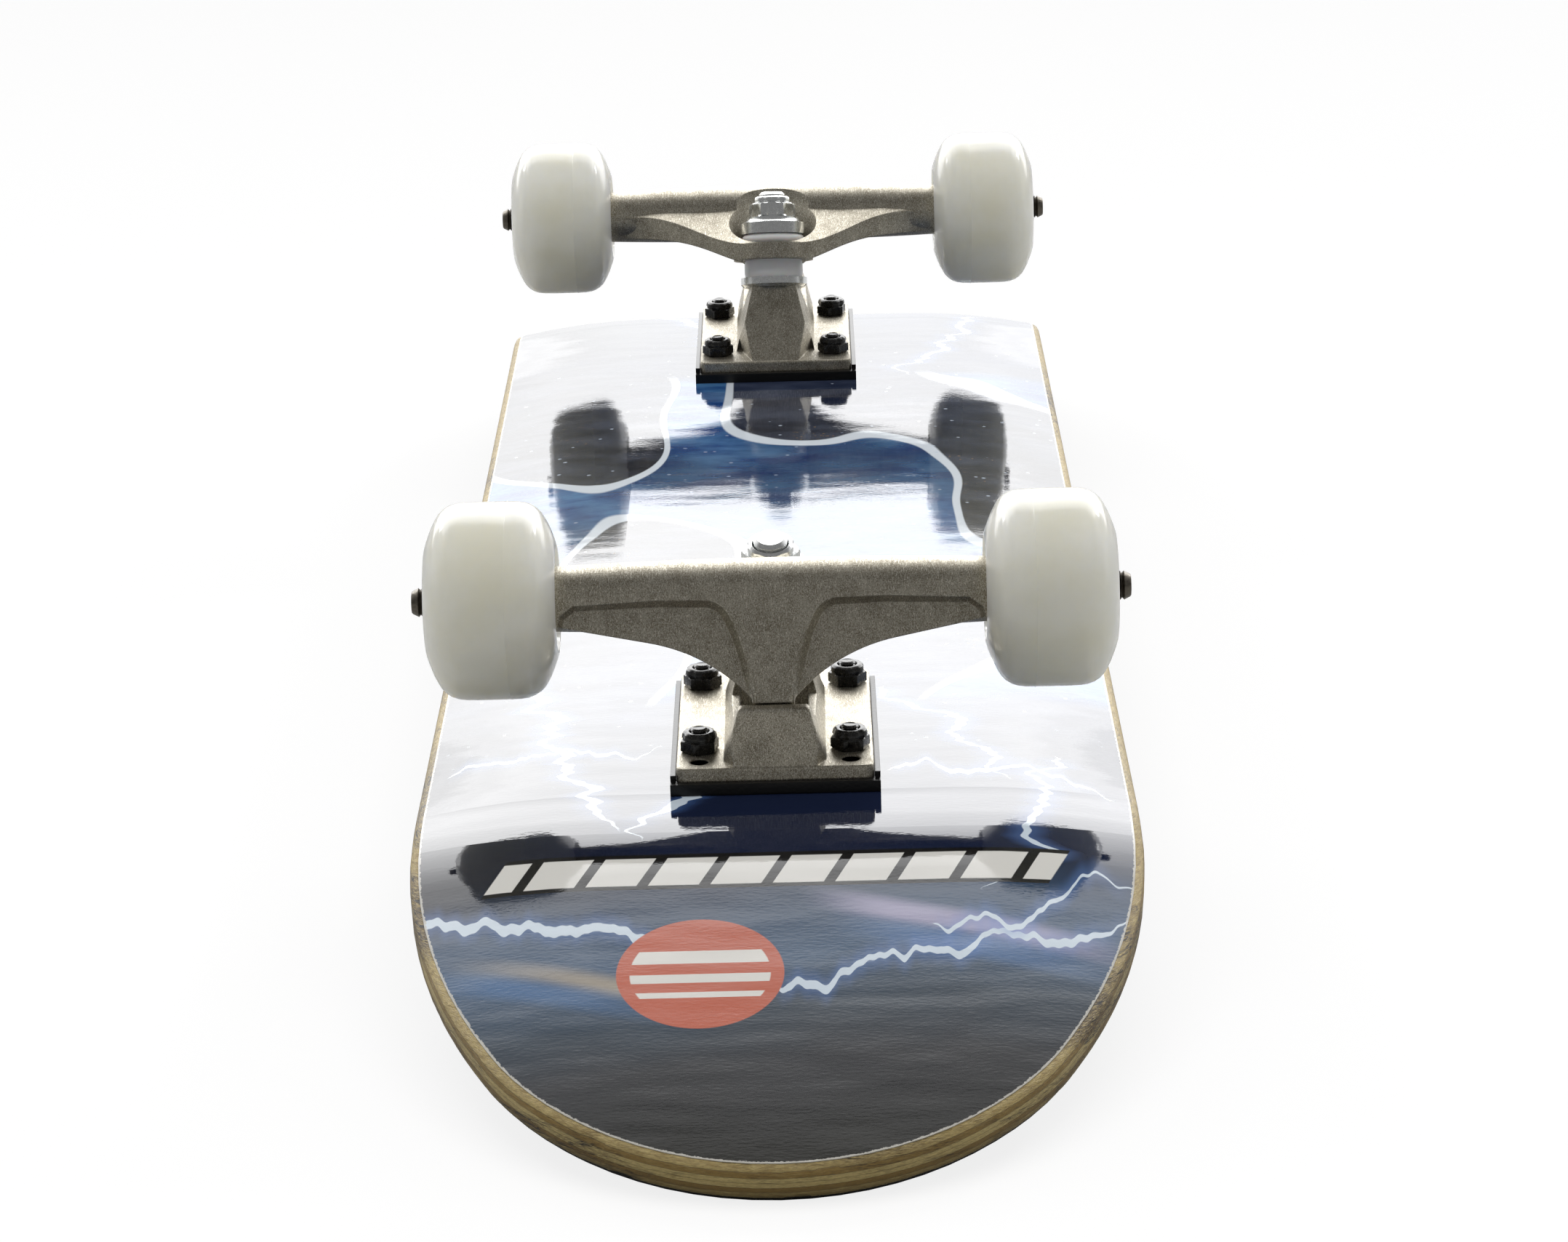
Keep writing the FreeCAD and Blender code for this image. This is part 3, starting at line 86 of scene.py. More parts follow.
class Wire:
    """A socket in a node tree. Sums on it add Math nodes; any other node comes from add."""

    def __init__(self, tree, socket=None):
        self.tree, self.socket = tree, socket

    def add(self, kind, settings=None, sockets=None, out=0):
        node = self.tree.nodes.new("ShaderNode" + kind)
        for name, value in (settings or {}).items():
            if name == "stops":
                stops = node.color_ramp.elements
                stops[0].position, stops[0].color = value[0]
                stops[1].position, stops[1].color = value[-1]
                for place, tone in value[1:-1]:
                    stops.new(place).color = tone
            else:
                setattr(node, name, value)
        for key, value in (sockets or {}).items():
            if isinstance(value, Wire):
                self.tree.links.new(value.socket, node.inputs[key])
            else:
                node.inputs[key].default_value = value
        return Wire(self.tree, node.outputs[out] if node.outputs else None)

    def math(self, operation, *values):
        sockets = dict(enumerate((self,) + values if self.socket else values))
        return self.add("Math", {"operation": operation}, sockets)

    def __add__(self, other):
        return self.math("ADD", other)

    def __sub__(self, other):
        return self.math("SUBTRACT", other)

    def __rsub__(self, other):
        return Wire(self.tree).math("SUBTRACT", other, self)

    def __mul__(self, other):
        return self.math("MULTIPLY", other)

    def __truediv__(self, other):
        return self.math("DIVIDE", other)

    __radd__, __rmul__ = __add__, __mul__

    def __abs__(self):
        return self.math("ABSOLUTE")

    def least(self, other):
        return self.math("MINIMUM", other)

    def most(self, other):
        return self.math("MAXIMUM", other)

    def reach(self, other):
        """The length of the line whose two sides these are."""
        return (self * self + other * other).math("SQRT")

    def step(self, low, high, start=0.0, end=1.0):
        """Rises smoothly from start at low to end at high."""
        settings = {"interpolation_type": "SMOOTHSTEP"}
        return self.add("MapRange", settings, {0: self, 1: low, 2: high, 3: start, 4: end})

    def within(self, half, soft):
        """1 where this is nearer to zero than half, falling to 0 over soft."""
        return abs(self).step(half, half + soft, 1.0, 0.0)

    def tint(self, below, over, kind="MIX"):
        """Colour: below where this is 0, over where it is 1."""
        settings = {"data_type": "RGBA", "blend_type": kind}
        return self.add("Mix", settings, {0: self, 6: below, 7: over}, out=2)

    def axes(self):
        """The three parts of a vector."""
        node = self.tree.nodes.new("ShaderNodeSeparateXYZ")
        self.tree.links.new(self.socket, node.inputs[0])
        return [Wire(self.tree, socket) for socket in node.outputs]

    def noise(
        self, place, scale, detail=2.0, rough=0.5,
        stretch=(1, 1, 1), shift=(0, 0, 0), turn=(0, 0, 0),
    ):
        """Cloudy variation about 0.5, its cells 1 / scale of a metre."""
        if (stretch, shift, turn) != ((1, 1, 1), (0, 0, 0), (0, 0, 0)):
            place = self.add("Mapping", {}, {0: place, 1: shift, 2: turn, 3: stretch})
        return self.add("TexNoise", {}, {0: place, 2: scale, 3: detail, 4: rough})


def colour(red, green, blue):
    """A linear colour from how it looks in even light, 0 to 255."""
    return tuple(((c / 255 + 0.055) / 1.055) ** 2.4 for c in (red, green, blue)) + (1.0,)


def new_surface(name):
    """A material with its shader, a bare wire, and a wire with the place on the object."""
    material = bpy.data.materials.new(name)
    material.use_nodes = True
    wire = Wire(material.node_tree)
    return material, wire.tree.nodes["Principled BSDF"], wire, wire.add("TexCoord", out=3)


def plug(shader, **values):
    """Set the shader's sockets, by name with _ for a space, to values or wires."""
    for name, value in values.items():
        socket = shader.inputs[name.replace("_", " ")]
        if isinstance(value, Wire):
            value.tree.links.new(value.socket, socket)
        else:
            socket.default_value = value


# The wall behind the tail is white and fades upwards; the room before it is dim.
world = bpy.data.worlds.new("studio")
bpy.context.scene.world = world
world.use_nodes = True
world.node_tree.nodes.clear()
sky = Wire(world.node_tree)
DIM, WALL = 0.22, 1.0
back, up = sky.add("TexCoord").axes()[1:]
wall = back.step(-0.15, 0.30) * up.step(0.60, 0.80, 1.0, 0.0)
around = wall * (WALL - DIM) + DIM
seen = sky.add("LightPath", out="Is Camera Ray")
strength = seen + (1.0 - seen) * around
lit = sky.add("Background", {}, {"Color": (1, 1, 1, 1), "Strength": strength})
sky.add("OutputWorld", {}, {"Surface": lit})

# The floor is painted pale grey, and white beyond the tail. Looked at directly it is
# plain white, and keeps a part of the shadow that falls on it.
FLOOR_HALF, WHITE_FROM, WHITE_WHOLE = 9.0, 0.37, 0.50
SHADOW_KEPT, FLOOR_WHITE = 0.22, 1.06
PAINT_NEAR, PAINT_BEYOND = (0.66, 0.66, 0.64, 1), (0.95, 0.95, 0.95, 1)
floor_mesh = bmesh.new()
bmesh.ops.create_grid(floor_mesh, x_segments=1, y_segments=1, size=FLOOR_HALF)
floor_data = bpy.data.meshes.new("studio_floor")
floor_mesh.to_mesh(floor_data)
floor_mesh.free()
floor = bpy.data.objects.new("studio_floor", floor_data)
collection.objects.link(floor)
floor_material = bpy.data.materials.new("studio_floor")
floor_material.use_nodes = True
floor_material.node_tree.nodes.clear()
ground = Wire(floor_material.node_tree)
seen = ground.add("LightPath", out="Is Camera Ray")
beyond = ground.add("TexCoord", out=3).axes()[1].step(WHITE_FROM, WHITE_WHOLE)
paint = seen.most(beyond).tint(PAINT_NEAR, PAINT_BEYOND)
matt = ground.add("BsdfDiffuse", {}, {"Color": paint})
bright = ground.add("Emission", {}, {"Color": (1, 1, 1, 1), "Strength": FLOOR_WHITE})
ground_mix = ground.add("MixShader", {}, {0: seen * (1 - SHADOW_KEPT), 1: matt, 2: bright})
ground.add("OutputMaterial", {}, {"Surface": ground_mix})
floor_data.materials.append(floor_material)


def soft_panel(name, low, high, width, radiance, aside=0.0):
    """An even rectangular lamp between two level edges, each given by its Y and Z."""
    low, high = Vector((aside, *low)), Vector((aside, *high))
    across, down = Vector((1, 0, 0)), (low - high).normalized()
    data = bpy.data.lights.new(name, "AREA")
    data.shape = "RECTANGLE"
    data.size, data.size_y = width, (high - low).length
    data.energy = radiance * math.pi * data.size * data.size_y
    lamp = bpy.data.objects.new(name, data)
    collection.objects.link(lamp)
    turned = Matrix((across, down, across.cross(down))).transposed().to_4x4()
    lamp.matrix_world = Matrix.Translation((low + high) / 2) @ turned
    return lamp


# The panel beyond the tail is a stack of strips that curves forward over its top.
# The strips give the mirror images; one even panel gives their soft light.
BACK_Y, BACK_FOOT, BACK_HEAD, COVE_TOP = 2.75, 0.07, 2.15, 2.50
PANEL_WIDE = 5.0
# the level edges between the strips, each its Y, its Z and the radiance from it on
cove = (
    (BACK_Y, BACK_FOOT, 2.0), (BACK_Y, 0.66, 2.5), (BACK_Y, 0.82, 3.4), (BACK_Y, 0.98, 4.1),
    (BACK_Y, BACK_HEAD, 3.9), (2.30, 2.40, 3.5), (1.75, COVE_TOP, 3.1), (1.40, COVE_TOP, 2.7),
    (1.30, COVE_TOP, 1.7), (1.24, COVE_TOP, 1.0), (1.17, COVE_TOP, 0.5), (1.06, COVE_TOP, 0.0),
)
for rank, (edge, following) in enumerate(zip(cove, cove[1:])):
    strip = soft_panel("back_strip_%d" % rank, edge[:2], following[:2], PANEL_WIDE, edge[2])
    strip.visible_diffuse = False
back_panel = soft_panel("back_panel", (BACK_Y, BACK_FOOT), (BACK_Y, BACK_HEAD), PANEL_WIDE, 2.5)
back_panel.visible_glossy = False

# The overhead panel lights matt surfaces more strongly than it shows in glossy ones.
OVERHEAD = ((0.70, 2.4), (-1.20, 2.4), 2.6)
soft_panel("overhead_panel", *OVERHEAD, 1.95).visible_glossy = False
soft_panel("overhead_sheen", *OVERHEAD, 1.1).visible_diffuse = False

# A small lamp on each side behind the board gives the metal its rims of light.
SIDE_LAMP, SIDE_LAMP_WIDE, SIDE_LAMP_AWAY = ((1.45, 1.1), (1.45, 1.4)), 0.3, 1.6
for side, radiance in ((-1, 22.0), (1, 32.0)):
    name = "side_lamp_%+d" % side
    soft_panel(name, *SIDE_LAMP, SIDE_LAMP_WIDE, radiance, side * SIDE_LAMP_AWAY)

# ---------------------------------------------------------------- deck
# Seven maple plies pressed into a concave with two kicks, stained at the glue lines.
# The edge is routed and its corners rounded; the holes take the mounting bolts.
FILM_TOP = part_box("nose_riser_pad")[0].z
KICK_START, KICK_RADIUS, KICK_ANGLE = 250 * MM, 70 * MM, math.radians(17.4)
FLAT_HALF, CONCAVE_RADIUS = 48 * MM, 230 * MM
KICK_END = KICK_START + KICK_RADIUS * KICK_ANGLE
WOOD, PLIES = 10.6 * MM, 7


def deck_surface(spot):
    """Where a point of the deck is: along its pressed surface, how deep, and the drop there."""
    x, y, z = spot.axes()
    out, rise = abs(y) - KICK_START, z - (FILM_TOP - KICK_RADIUS)
    bend = out.math("ARCTAN2", rise).most(0.0).least(KICK_ANGLE)
    sine, cosine = bend.math("SINE"), bend.math("COSINE")
    wide = (abs(x) - FLAT_HALF).most(0.0)
    drop = CONCAVE_RADIUS - (CONCAVE_RADIUS**2 - wide * wide).math("SQRT")
    depth = KICK_RADIUS - (out * sine + rise * cosine) - drop
    along = out * cosine - rise * sine + bend * KICK_RADIUS + KICK_START
    return along, depth, drop


maple, shader, wire, spot = new_surface("maple_plies")
depth = deck_surface(spot)[1]
wander = wire.noise(spot, 30.0, 3.0, stretch=(1, 1, 5))
layer = (depth + (wander - 0.5) * (0.9 * MM)) * (PLIES / WOOD)
tone = wire.add("TexWhiteNoise", {"noise_dimensions": "1D"}, {1: layer.math("FLOOR")})
glue = layer.math("FRACT").math("PINGPONG", 0.5).step(0.0, 0.10, 1.0, 0.0)
grain = wire.noise(spot, 260.0, 5.0, 0.62, stretch=(1, 1, 7))
fibre = wire.noise(spot, 700.0, 3.0, 0.6, stretch=(1, 1, 16))
stain = wire.noise(spot, 16.0, 4.0, 0.6, stretch=(1, 1, 4))
crack = wire.noise(spot, 34.0, 3.0, 0.6, stretch=(1, 1, 14), shift=(3, 0, 0))
wood = (tone * 0.45 + grain * 0.55).step(0.28, 0.72)
wood = wood.tint(colour(148, 120, 60), colour(208, 187, 126))
wood = (fibre.step(0.42, 0.66) * 0.55).tint(wood, colour(96, 74, 34))
wood = (stain.step(0.48, 0.66) * fibre.step(0.3, 0.6)).tint(wood, colour(60, 42, 15))
wood = (glue * 0.5).tint(wood, colour(66, 50, 26))
# painted shade: the edge is painted darker towards the grip side, lower down and away from the light
# above
wood = (depth.step(4.5 * MM, WOOD) * 0.62).tint(wood, colour(54, 40, 15))
wood = ((crack - 0.5).within(0.006, 0.012) * stain.step(0.46, 0.6)).tint(wood, colour(26, 20, 14))
wood = depth.step(WOOD - 1.1 * MM, WOOD - 0.3 * MM).tint(wood, colour(30, 26, 22))
height = grain + fibre * 0.6 - glue * 0.7
relief = wire.add("Bump", {}, {"Strength": 0.5, "Distance": 0.0006, "Height": height})
plug(shader, Base_Color=wood, Roughness=0.5, Normal=relief)
nodes["deck"].material_slots[0].material = maple

# ---------------------------------------------------------------- printed film
# A glossy plastic film printed on its back and pressed onto the outer ply by heat.
# Its surface ripples a little across the board, and its cut edge is left ragged.
film, shader, wire, spot = new_surface("printed_film")
along, _, drop = deck_surface(spot)
x, y = spot.axes()[:2]
nose = along * y.math("SIGN") * -1.0
flat = wire.add("CombineXYZ", {}, {0: x, 1: nose})
cloud = wire.noise(flat, 9.0, 3.0)
smoke = wire.noise(flat, 34.0, 6.0, 0.6, stretch=(1, 2.2, 1), turn=(0, 0, 0.4))
drift = nose + (cloud - 0.5) * 0.05 + x * 0.08
base = wire.add("ValToRGB", {"stops": [
    (0.00, colour(60, 60, 62)),
    (0.12, colour(74, 84, 104)),
    (0.22, colour(34, 46, 76)),
    (0.38, colour(24, 28, 40)),
    (0.55, colour(22, 23, 27)),
    (0.66, colour(26, 34, 56)),
    (0.78, colour(22, 32, 58)),
    (0.855, colour(20, 29, 56)),
    (0.885, colour(46, 74, 104)),
    (0.905, colour(52, 84, 116)),
    (0.930, colour(50, 64, 78)),
    (0.955, colour(54, 55, 58)),
    (1.00, colour(53, 52, 48)),
]}, {0: drift * 1.25 + 0.5})
grey = x.step(-0.085, -0.020, 1.0, 0.0) * nose.step(0.290, 0.310, 1.0, 0.0)
base = (grey * 0.75).tint(base, colour(28, 28, 32))
centre = abs(nose).step(0.17, 0.26, 1.0, 0.0)
base = (smoke.step(0.35, 0.75, 0.0, 0.4) * centre + 0.02).tint(base, colour(96, 104, 122), "SCREEN")

# two soft beams of light cross the print, one gold and one pale violet
BEAM_LEAN, BEAM_HAZE = 0.30, 0.006
beam = nose - x * BEAM_LEAN
for middle, half, shine, (start, full, fading, end) in (
    (0.3470, 0.0004, colour(178, 166, 148), (-0.092, -0.045, -0.044, -0.010)),
    (0.3540, 0.0010, colour(72, 112, 158), (-0.094, -0.070, -0.066, -0.015)),
    (0.2970, 0.0012, colour(182, 176, 204), (0.004, 0.030, 0.060, 0.099)),
    (0.3060, 0.0014, colour(88, 122, 168), (0.010, 0.040, 0.050, 0.097)),
):
    ends = x.step(start, full) * x.step(fading, end, 1.0, 0.0)
    glow = (beam - middle).within(half, BEAM_HAZE) * ends
    base = (glow * 0.85).tint(base, shine)

# broad blue ribbons outlined in white flow over the middle
RIBBON_HALF, RIM_HALF, RIM_SOFT = 0.050, 0.005, 0.003
swirl = wire.noise(
    flat, 7.0, 1.6, 0.45, stretch=(1.0, 0.62, 1.0), shift=(0.7, 0.3, 0), turn=(0, 0, 0.5)
)
middle = abs(nose).step(0.165, 0.180, 1.0, 0.0)
ribbon = (swirl - 0.5).within(RIBBON_HALF, RIM_SOFT) * middle
rim = (abs(swirl - 0.5) - (RIBBON_HALF + 0.004)).within(RIM_HALF, RIM_SOFT) * middle
water = smoke.step(0.3, 0.7).tint(colour(22, 62, 124), colour(84, 134, 180))
water = (cloud.step(0.42, 0.62) * 0.6).tint(water, colour(14, 24, 54))
gold = wire.add("TexVoronoi", {}, {0: flat, 2: 420.0}).step(0.10, 0.30, 1.0, 0.0)
gold = gold * cloud.step(0.50, 0.60) * smoke.step(0.45, 0.60) * middle
base = (gold * 0.7).tint(base, colour(142, 112, 66))
base = ribbon.tint(base, water)
base = rim.tint(base, colour(226, 234, 242))
spray = wire.add("TexVoronoi", {}, {0: flat, 2: 130.0}).step(0.05, 0.12, 1.0, 0.0)
base = (spray * centre * (1.0 - ribbon * 0.4) * 0.7).tint(base, colour(206, 218, 232))

# pale streamers with a blue glow wander over the print, along it or across it
STREAMER_SWING, STREAMER_GLOW, STREAMER_EDGE = 0.034, 0.008, 0.0004


def streamer(base, run, side, place, slope, start, end, thick):
    """Draw a wandering line: side is place in its middle and changes by slope."""
    ends = run.step(start, start + 0.006) * run.step(end - 0.02, end, 1.0, 0.0)
    sockets = {1: run + place * 90, 2: 44.0, 3: 3.0, 4: 0.52}
    jag = wire.add("TexNoise", {"noise_dimensions": "1D"}, sockets)
    leaning = side - place - (run - (start + end) / 2) * slope
    away = abs(leaning - (jag - 0.5) * STREAMER_SWING)
    thick = jag.step(0.3, 0.7, thick, thick * 2.0) * ends
    glow = away.step(0.0, STREAMER_GLOW, 0.35, 0.0) * ends
    base = glow.tint(base, colour(96, 136, 206))
    core = (away - thick).step(0.0, STREAMER_EDGE, 1.0, 0.0) * ends.step(0.0, 0.1)
    return core.tint(base, colour(216, 229, 240))


for place, slope, start, end, thick in (
    (-0.060, 0.25, 0.150, 0.272, 0.0011),
    (-0.020, -0.35, 0.205, 0.276, 0.0015),
    (0.050, 0.50, 0.165, 0.245, 0.0007),
    (0.070, -0.20, 0.222, 0.300, 0.0006),
    (-0.030, 0.30, -0.300, -0.190, 0.0012),
    (0.060, -0.30, -0.260, -0.170, 0.0008),
):
    base = streamer(base, nose, x, place, slope, start, end, thick)
for place, slope, start, end, thick in (
    (0.312, 0.20, -0.098, -0.012, 0.0013),
    (0.322, -0.24, -0.002, 0.096, 0.0008),
    (0.304, -0.36, 0.040, 0.098, 0.0005),
    (0.216, -0.10, -0.092, -0.030, 0.0007),
    (0.238, 0.20, 0.030, 0.094, 0.0009),
):
    base = streamer(base, x, nose, place, slope, start, end, thick)

# a row of slanted white blocks with dark outlines crosses the bend of the nose
ROW_PLACE, ROW_HALF, ROW_EDGE, ROW_OUTLINE = 0.288, 0.0055, 0.0004, 0.0016
BLOCK, BLOCK_SLANT, ROW_BLOCKS = 0.0165, 0.45, 9
row = nose - ROW_PLACE
slanted = x + row * BLOCK_SLANT
block = (slanted / BLOCK).math("FRACT") - 0.5
ends = slanted.within(BLOCK * ROW_BLOCKS / 2 + 0.0005, ROW_EDGE)
base = (row.within(ROW_HALF + ROW_OUTLINE, ROW_EDGE) * ends).tint(base, colour(20, 20, 22))
cut = row.within(ROW_HALF, ROW_EDGE) * block.within(0.40, 0.015) * ends
base = cut.tint(base, colour(232, 230, 224))

# a sun, cut by three white bars, low on the nose
SUN_SIDE, SUN_PLACE, SUN_RADIUS, BAR_REACH = -0.020, 0.330, 0.0215, 0.0180
sun_x, sun_y = x - SUN_SIDE, nose - SUN_PLACE
from_sun = sun_x.reach(sun_y)
disc = from_sun.within(SUN_RADIUS, 0.0004)
base = disc.tint(base, smoke.tint(colour(196, 98, 72), colour(206, 108, 82)))
for offset, half in ((0.0085, 0.0010), (0.0020, 0.0016), (-0.0065, 0.0024)):
    bar = (sun_y - offset).within(half, 0.0002) * from_sun.within(BAR_REACH, 0.0004)
    base = bar.tint(base, colour(236, 233, 226))

# The bare edge of the film, nicked where the router passed. Past the bend the outline is
# an arc for the shoulder and another for the tip; they meet on a line from the tip's centre.
TIP_RADIUS, TIP_CENTRE, TIP_SLOPE = 82.6 * MM, 49 * MM, 0.499
SHOULDER_RADIUS, SHOULDER_SIDE, SHOULDER_BACK = 188.3 * MM, 92.1 * MM, 3 * MM
past = along - KICK_END
beside, beyond = abs(x) + SHOULDER_SIDE, (past + SHOULDER_BACK).most(0.0)
shoulder = SHOULDER_RADIUS - beside.reach(beyond)
tip = TIP_RADIUS - x.reach(past - TIP_CENTRE)
in_tip = (past - TIP_CENTRE).math("GREATER_THAN", abs(x) * TIP_SLOPE)
inward = shoulder + (tip - shoulder) * in_tip
nick = wire.noise(spot, 700.0, 4.0, 0.75)
edge = (inward - (nick - 0.5) * (1.6 * MM)).step(0.5 * MM, 0.7 * MM, 1.0, 0.0)
base = (edge * 0.9).tint(base, colour(206, 203, 194))
dust = wire.add("TexVoronoi", {}, {0: spot, 2: 26.0}).step(0.012, 0.022, 1.0, 0.0)
base = (dust * 0.8).tint(base, colour(20, 18, 16))

# the gloss turns over a bend that starts later and is a little longer than the fold
# of the plies, and lies flatter across the kick than they do
GLOSS_START, GLOSS_BEND, CONCAVE_LOST = 264 * MM, 25 * MM, 0.65
RIPPLE_HIGH, SWELL_HIGH = 0.012 * MM, 0.09 * MM


def fallen(start, bend):
    """How far a surface has dropped that bends evenly to the kick's angle."""
    run = (abs(nose) - start).most(0.0)
    turned = run.least(bend)
    return (turned * turned / (2 * bend) + run - turned) * KICK_ANGLE


slope = fallen(KICK_START, KICK_END - KICK_START) - fallen(GLOSS_START, GLOSS_BEND)
slope = slope + drop * abs(nose).step(0.185, 0.262, 0.0, CONCAVE_LOST)
ripple = wire.noise(spot, 1.0, 2.0, 0.55, stretch=(420, 1200, 1200))
swell = wire.noise(spot, 1.0, 1.0, 0.5, stretch=(28, 90, 90))
height = slope + ripple * RIPPLE_HIGH + swell * SWELL_HIGH
relief = wire.add("Bump", {}, {"Strength": 1.0, "Distance": 1.0, "Height": height})
plug(shader, Base_Color=base, Roughness=0.045, IOR=1.5, Normal=relief)
nodes["printed_film"].material_slots[0].material = film

# ---------------------------------------------------------------- grip tape
# Black silicon carbide grit on an adhesive sheet, stuck over the whole riding side.
grip, shader, wire, spot = new_surface("grip_tape")
grit = wire.add("TexVoronoi", {}, {0: spot, 2: 2200.0})
relief = wire.add("Bump", {}, {"Strength": 0.8, "Distance": 0.0004, "Height": grit})
plug(shader, Base_Color=grit.tint(colour(44, 44, 45), colour(20, 20, 21)), Roughness=0.75,
     Normal=relief)
nodes["grip_tape"].material_slots[0].material = grip

# ---------------------------------------------------------------- cast parts of the trucks
# The baseplates and hangers are cast aluminium, tumbled until dull and left bare.
# Rubbing against each other has left fine bright scratches all over them.

# In millimetres: where the middle of a truck's bolts is, its plate's top above the film,
# and the bolts and the two spare holes from that middle.
PATTERN_CENTRE, PLATE_TOP = 208.0, 7.0
BOLT_SIDE, BOLT_ROW = 20.65, 26.925
SPARE_ROW, SPARE_RADIUS = 36.575, 2.7
cast, shader, wire, spot = new_surface("cast_aluminium")
fine = wire.noise(spot, 3200.0, 2.0, 0.6)
broad = wire.noise(spot, 160.0, 4.0, 0.6)
speckle = (fine * 0.7 + broad * 0.3).step(0.26, 0.76)
metal = speckle.tint(colour(116, 109, 94), colour(204, 198, 183))
for turn in (0.4, 1.1, 1.9, 2.6):
    scratch = wire.noise(spot, 1.0, 1.0, stretch=(4200, 330, 1400), turn=(turn, 0.5 * turn, turn))
    metal = (scratch.step(0.65, 0.71) * 0.6).tint(metal, colour(240, 235, 222))
pit = wire.noise(spot, 2600.0, 2.0, shift=(4, 4, 4)).step(0.66, 0.74)
metal = (pit * 0.6).tint(metal, colour(58, 54, 48))

# painted shade: the spare holes are painted near-black inside, where no light comes back out of them
x, y, z = spot.axes()
from_hole = (abs(x) - BOLT_SIDE * MM).reach(abs(y) - (PATTERN_CENTRE + SPARE_ROW) * MM)
rim = FILM_TOP + PLATE_TOP * MM
painted_hole_shade = from_hole.within(SPARE_RADIUS * MM, 0.2 * MM) * z.step(rim - 0.6 * MM, rim - 0.3 * MM, 1.0, 0.0)
metal = painted_hole_shade.tint(metal, colour(16, 15, 14))
soft = wire.add("Bevel", {"samples": 4}, {"Radius": 0.0007})
height = fine - pit * 0.6
sockets = {"Strength": 0.5, "Distance": 0.0001, "Height": height, "Normal": soft}
relief = wire.add("Bump", {}, sockets)
plug(shader, Base_Color=metal, Metallic=1.0, Roughness=speckle.step(0, 1, 0.54, 0.38), Normal=relief)

# ---------------------------------------------------------------- steel and black parts
# The kingpins and cup washers are zinc plated; bolts and their nuts are oiled black
# oxide; the axles are dark hardened steel and the bearings ground and polished.
zinc, shader, wire, spot = new_surface("zinc_steel")
brushed = wire.noise(spot, 900.0, 2.0)
relief = wire.add("Bump", {}, {"Strength": 0.08, "Distance": 0.0001, "Height": brushed})
plug(shader, Base_Color=brushed.tint(colour(214, 216, 216), colour(238, 239, 238)), Metallic=1.0,
     Roughness=brushed.step(0.3, 0.7, 0.20, 0.28), Normal=relief)

black, shader, wire, spot = new_surface("black_steel")
wear = wire.noise(spot, 1300.0, 4.0, 0.6)
relief = wire.add("Bump", {}, {"Strength": 0.3, "Distance": 0.0001, "Height": wear})
plug(shader, Base_Color=wear.step(0.50, 0.80).tint(colour(20, 19, 18), colour(66, 62, 55)), Metallic=0.2,
     Roughness=wear.step(0.3, 0.7, 0.18, 0.32), Normal=relief)

axle_metal, shader, wire, spot = new_surface("axle_steel")
wear = wire.noise(spot, 1100.0, 3.0)
relief = wire.add("Bump", {}, {"Strength": 0.3, "Distance": 0.0001, "Height": wear})
plug(shader, Base_Color=wear.tint(colour(62, 58, 53), colour(118, 112, 102)), Metallic=0.9,
     Roughness=wear.step(0.3, 0.7, 0.28, 0.42), Normal=relief)

bearing, shader, wire, spot = new_surface("bearing_steel")
worn = wire.noise(spot, 800.0, 2.0)
plug(shader, Base_Color=worn.tint(colour(186, 187, 190), colour(222, 223, 224)), Metallic=1.0,
     Roughness=worn.step(0.3, 0.7, 0.14, 0.26))

# ---------------------------------------------------------------- rubber and urethane
# Riser pads are moulded black rubber; bushings and wheels are poured urethane.
rubber, shader, wire, spot = new_surface("riser_rubber")
grain = wire.noise(spot, 1200.0, 2.0)
soft = wire.add("Bevel", {"samples": 4}, {"Radius": 0.0005})
sockets = {"Strength": 0.25, "Distance": 0.0002, "Height": grain, "Normal": soft}
relief = wire.add("Bump", {}, sockets)
plug(shader, Base_Color=grain.tint(colour(9, 9, 9), colour(18, 18, 18)), Roughness=0.3,
     Specular_IOR_Level=0.3, Normal=relief)

bush, shader, wire, spot = new_surface("bushing_urethane")
haze = wire.noise(spot, 300.0, 2.0)
plug(shader, Base_Color=haze.tint(colour(234, 233, 233), colour(243, 242, 241)), Roughness=0.3,
     Subsurface_Weight=0.2, Subsurface_Scale=0.002)

tyre, shader, wire, spot = new_surface("wheel_urethane")
haze = wire.noise(spot, 60.0, 3.0)
scuff = wire.noise(spot, 1.0, 3.0, 0.6, stretch=(1400, 90, 90))
relief = wire.add("Bump", {}, {"Strength": 0.10, "Distance": 0.0001, "Height": scuff})
plug(shader, Base_Color=haze.step(0.3, 0.7).tint(colour(240, 235, 215), colour(246, 242, 226)),
     Roughness=scuff.step(0.3, 0.7, 0.13, 0.20), Normal=relief, Subsurface_Weight=1.0,
     Subsurface_Scale=0.035, Subsurface_Radius=(1.0, 0.95, 0.82))

finishes = {
    "cast_aluminium": cast,
    "zinc_steel": zinc,
    "black_steel": black,
    "axle_steel": axle_metal,
    "bearing_steel": bearing,
    "riser_rubber": rubber,
    "bushing_urethane": bush,
    "wheel_urethane": tyre,
}
for row in frame["record"]["subparts"]:
    if row["material_slot"] in finishes:
        nodes[row["node"]].material_slots[0].material = finishes[row["material_slot"]]

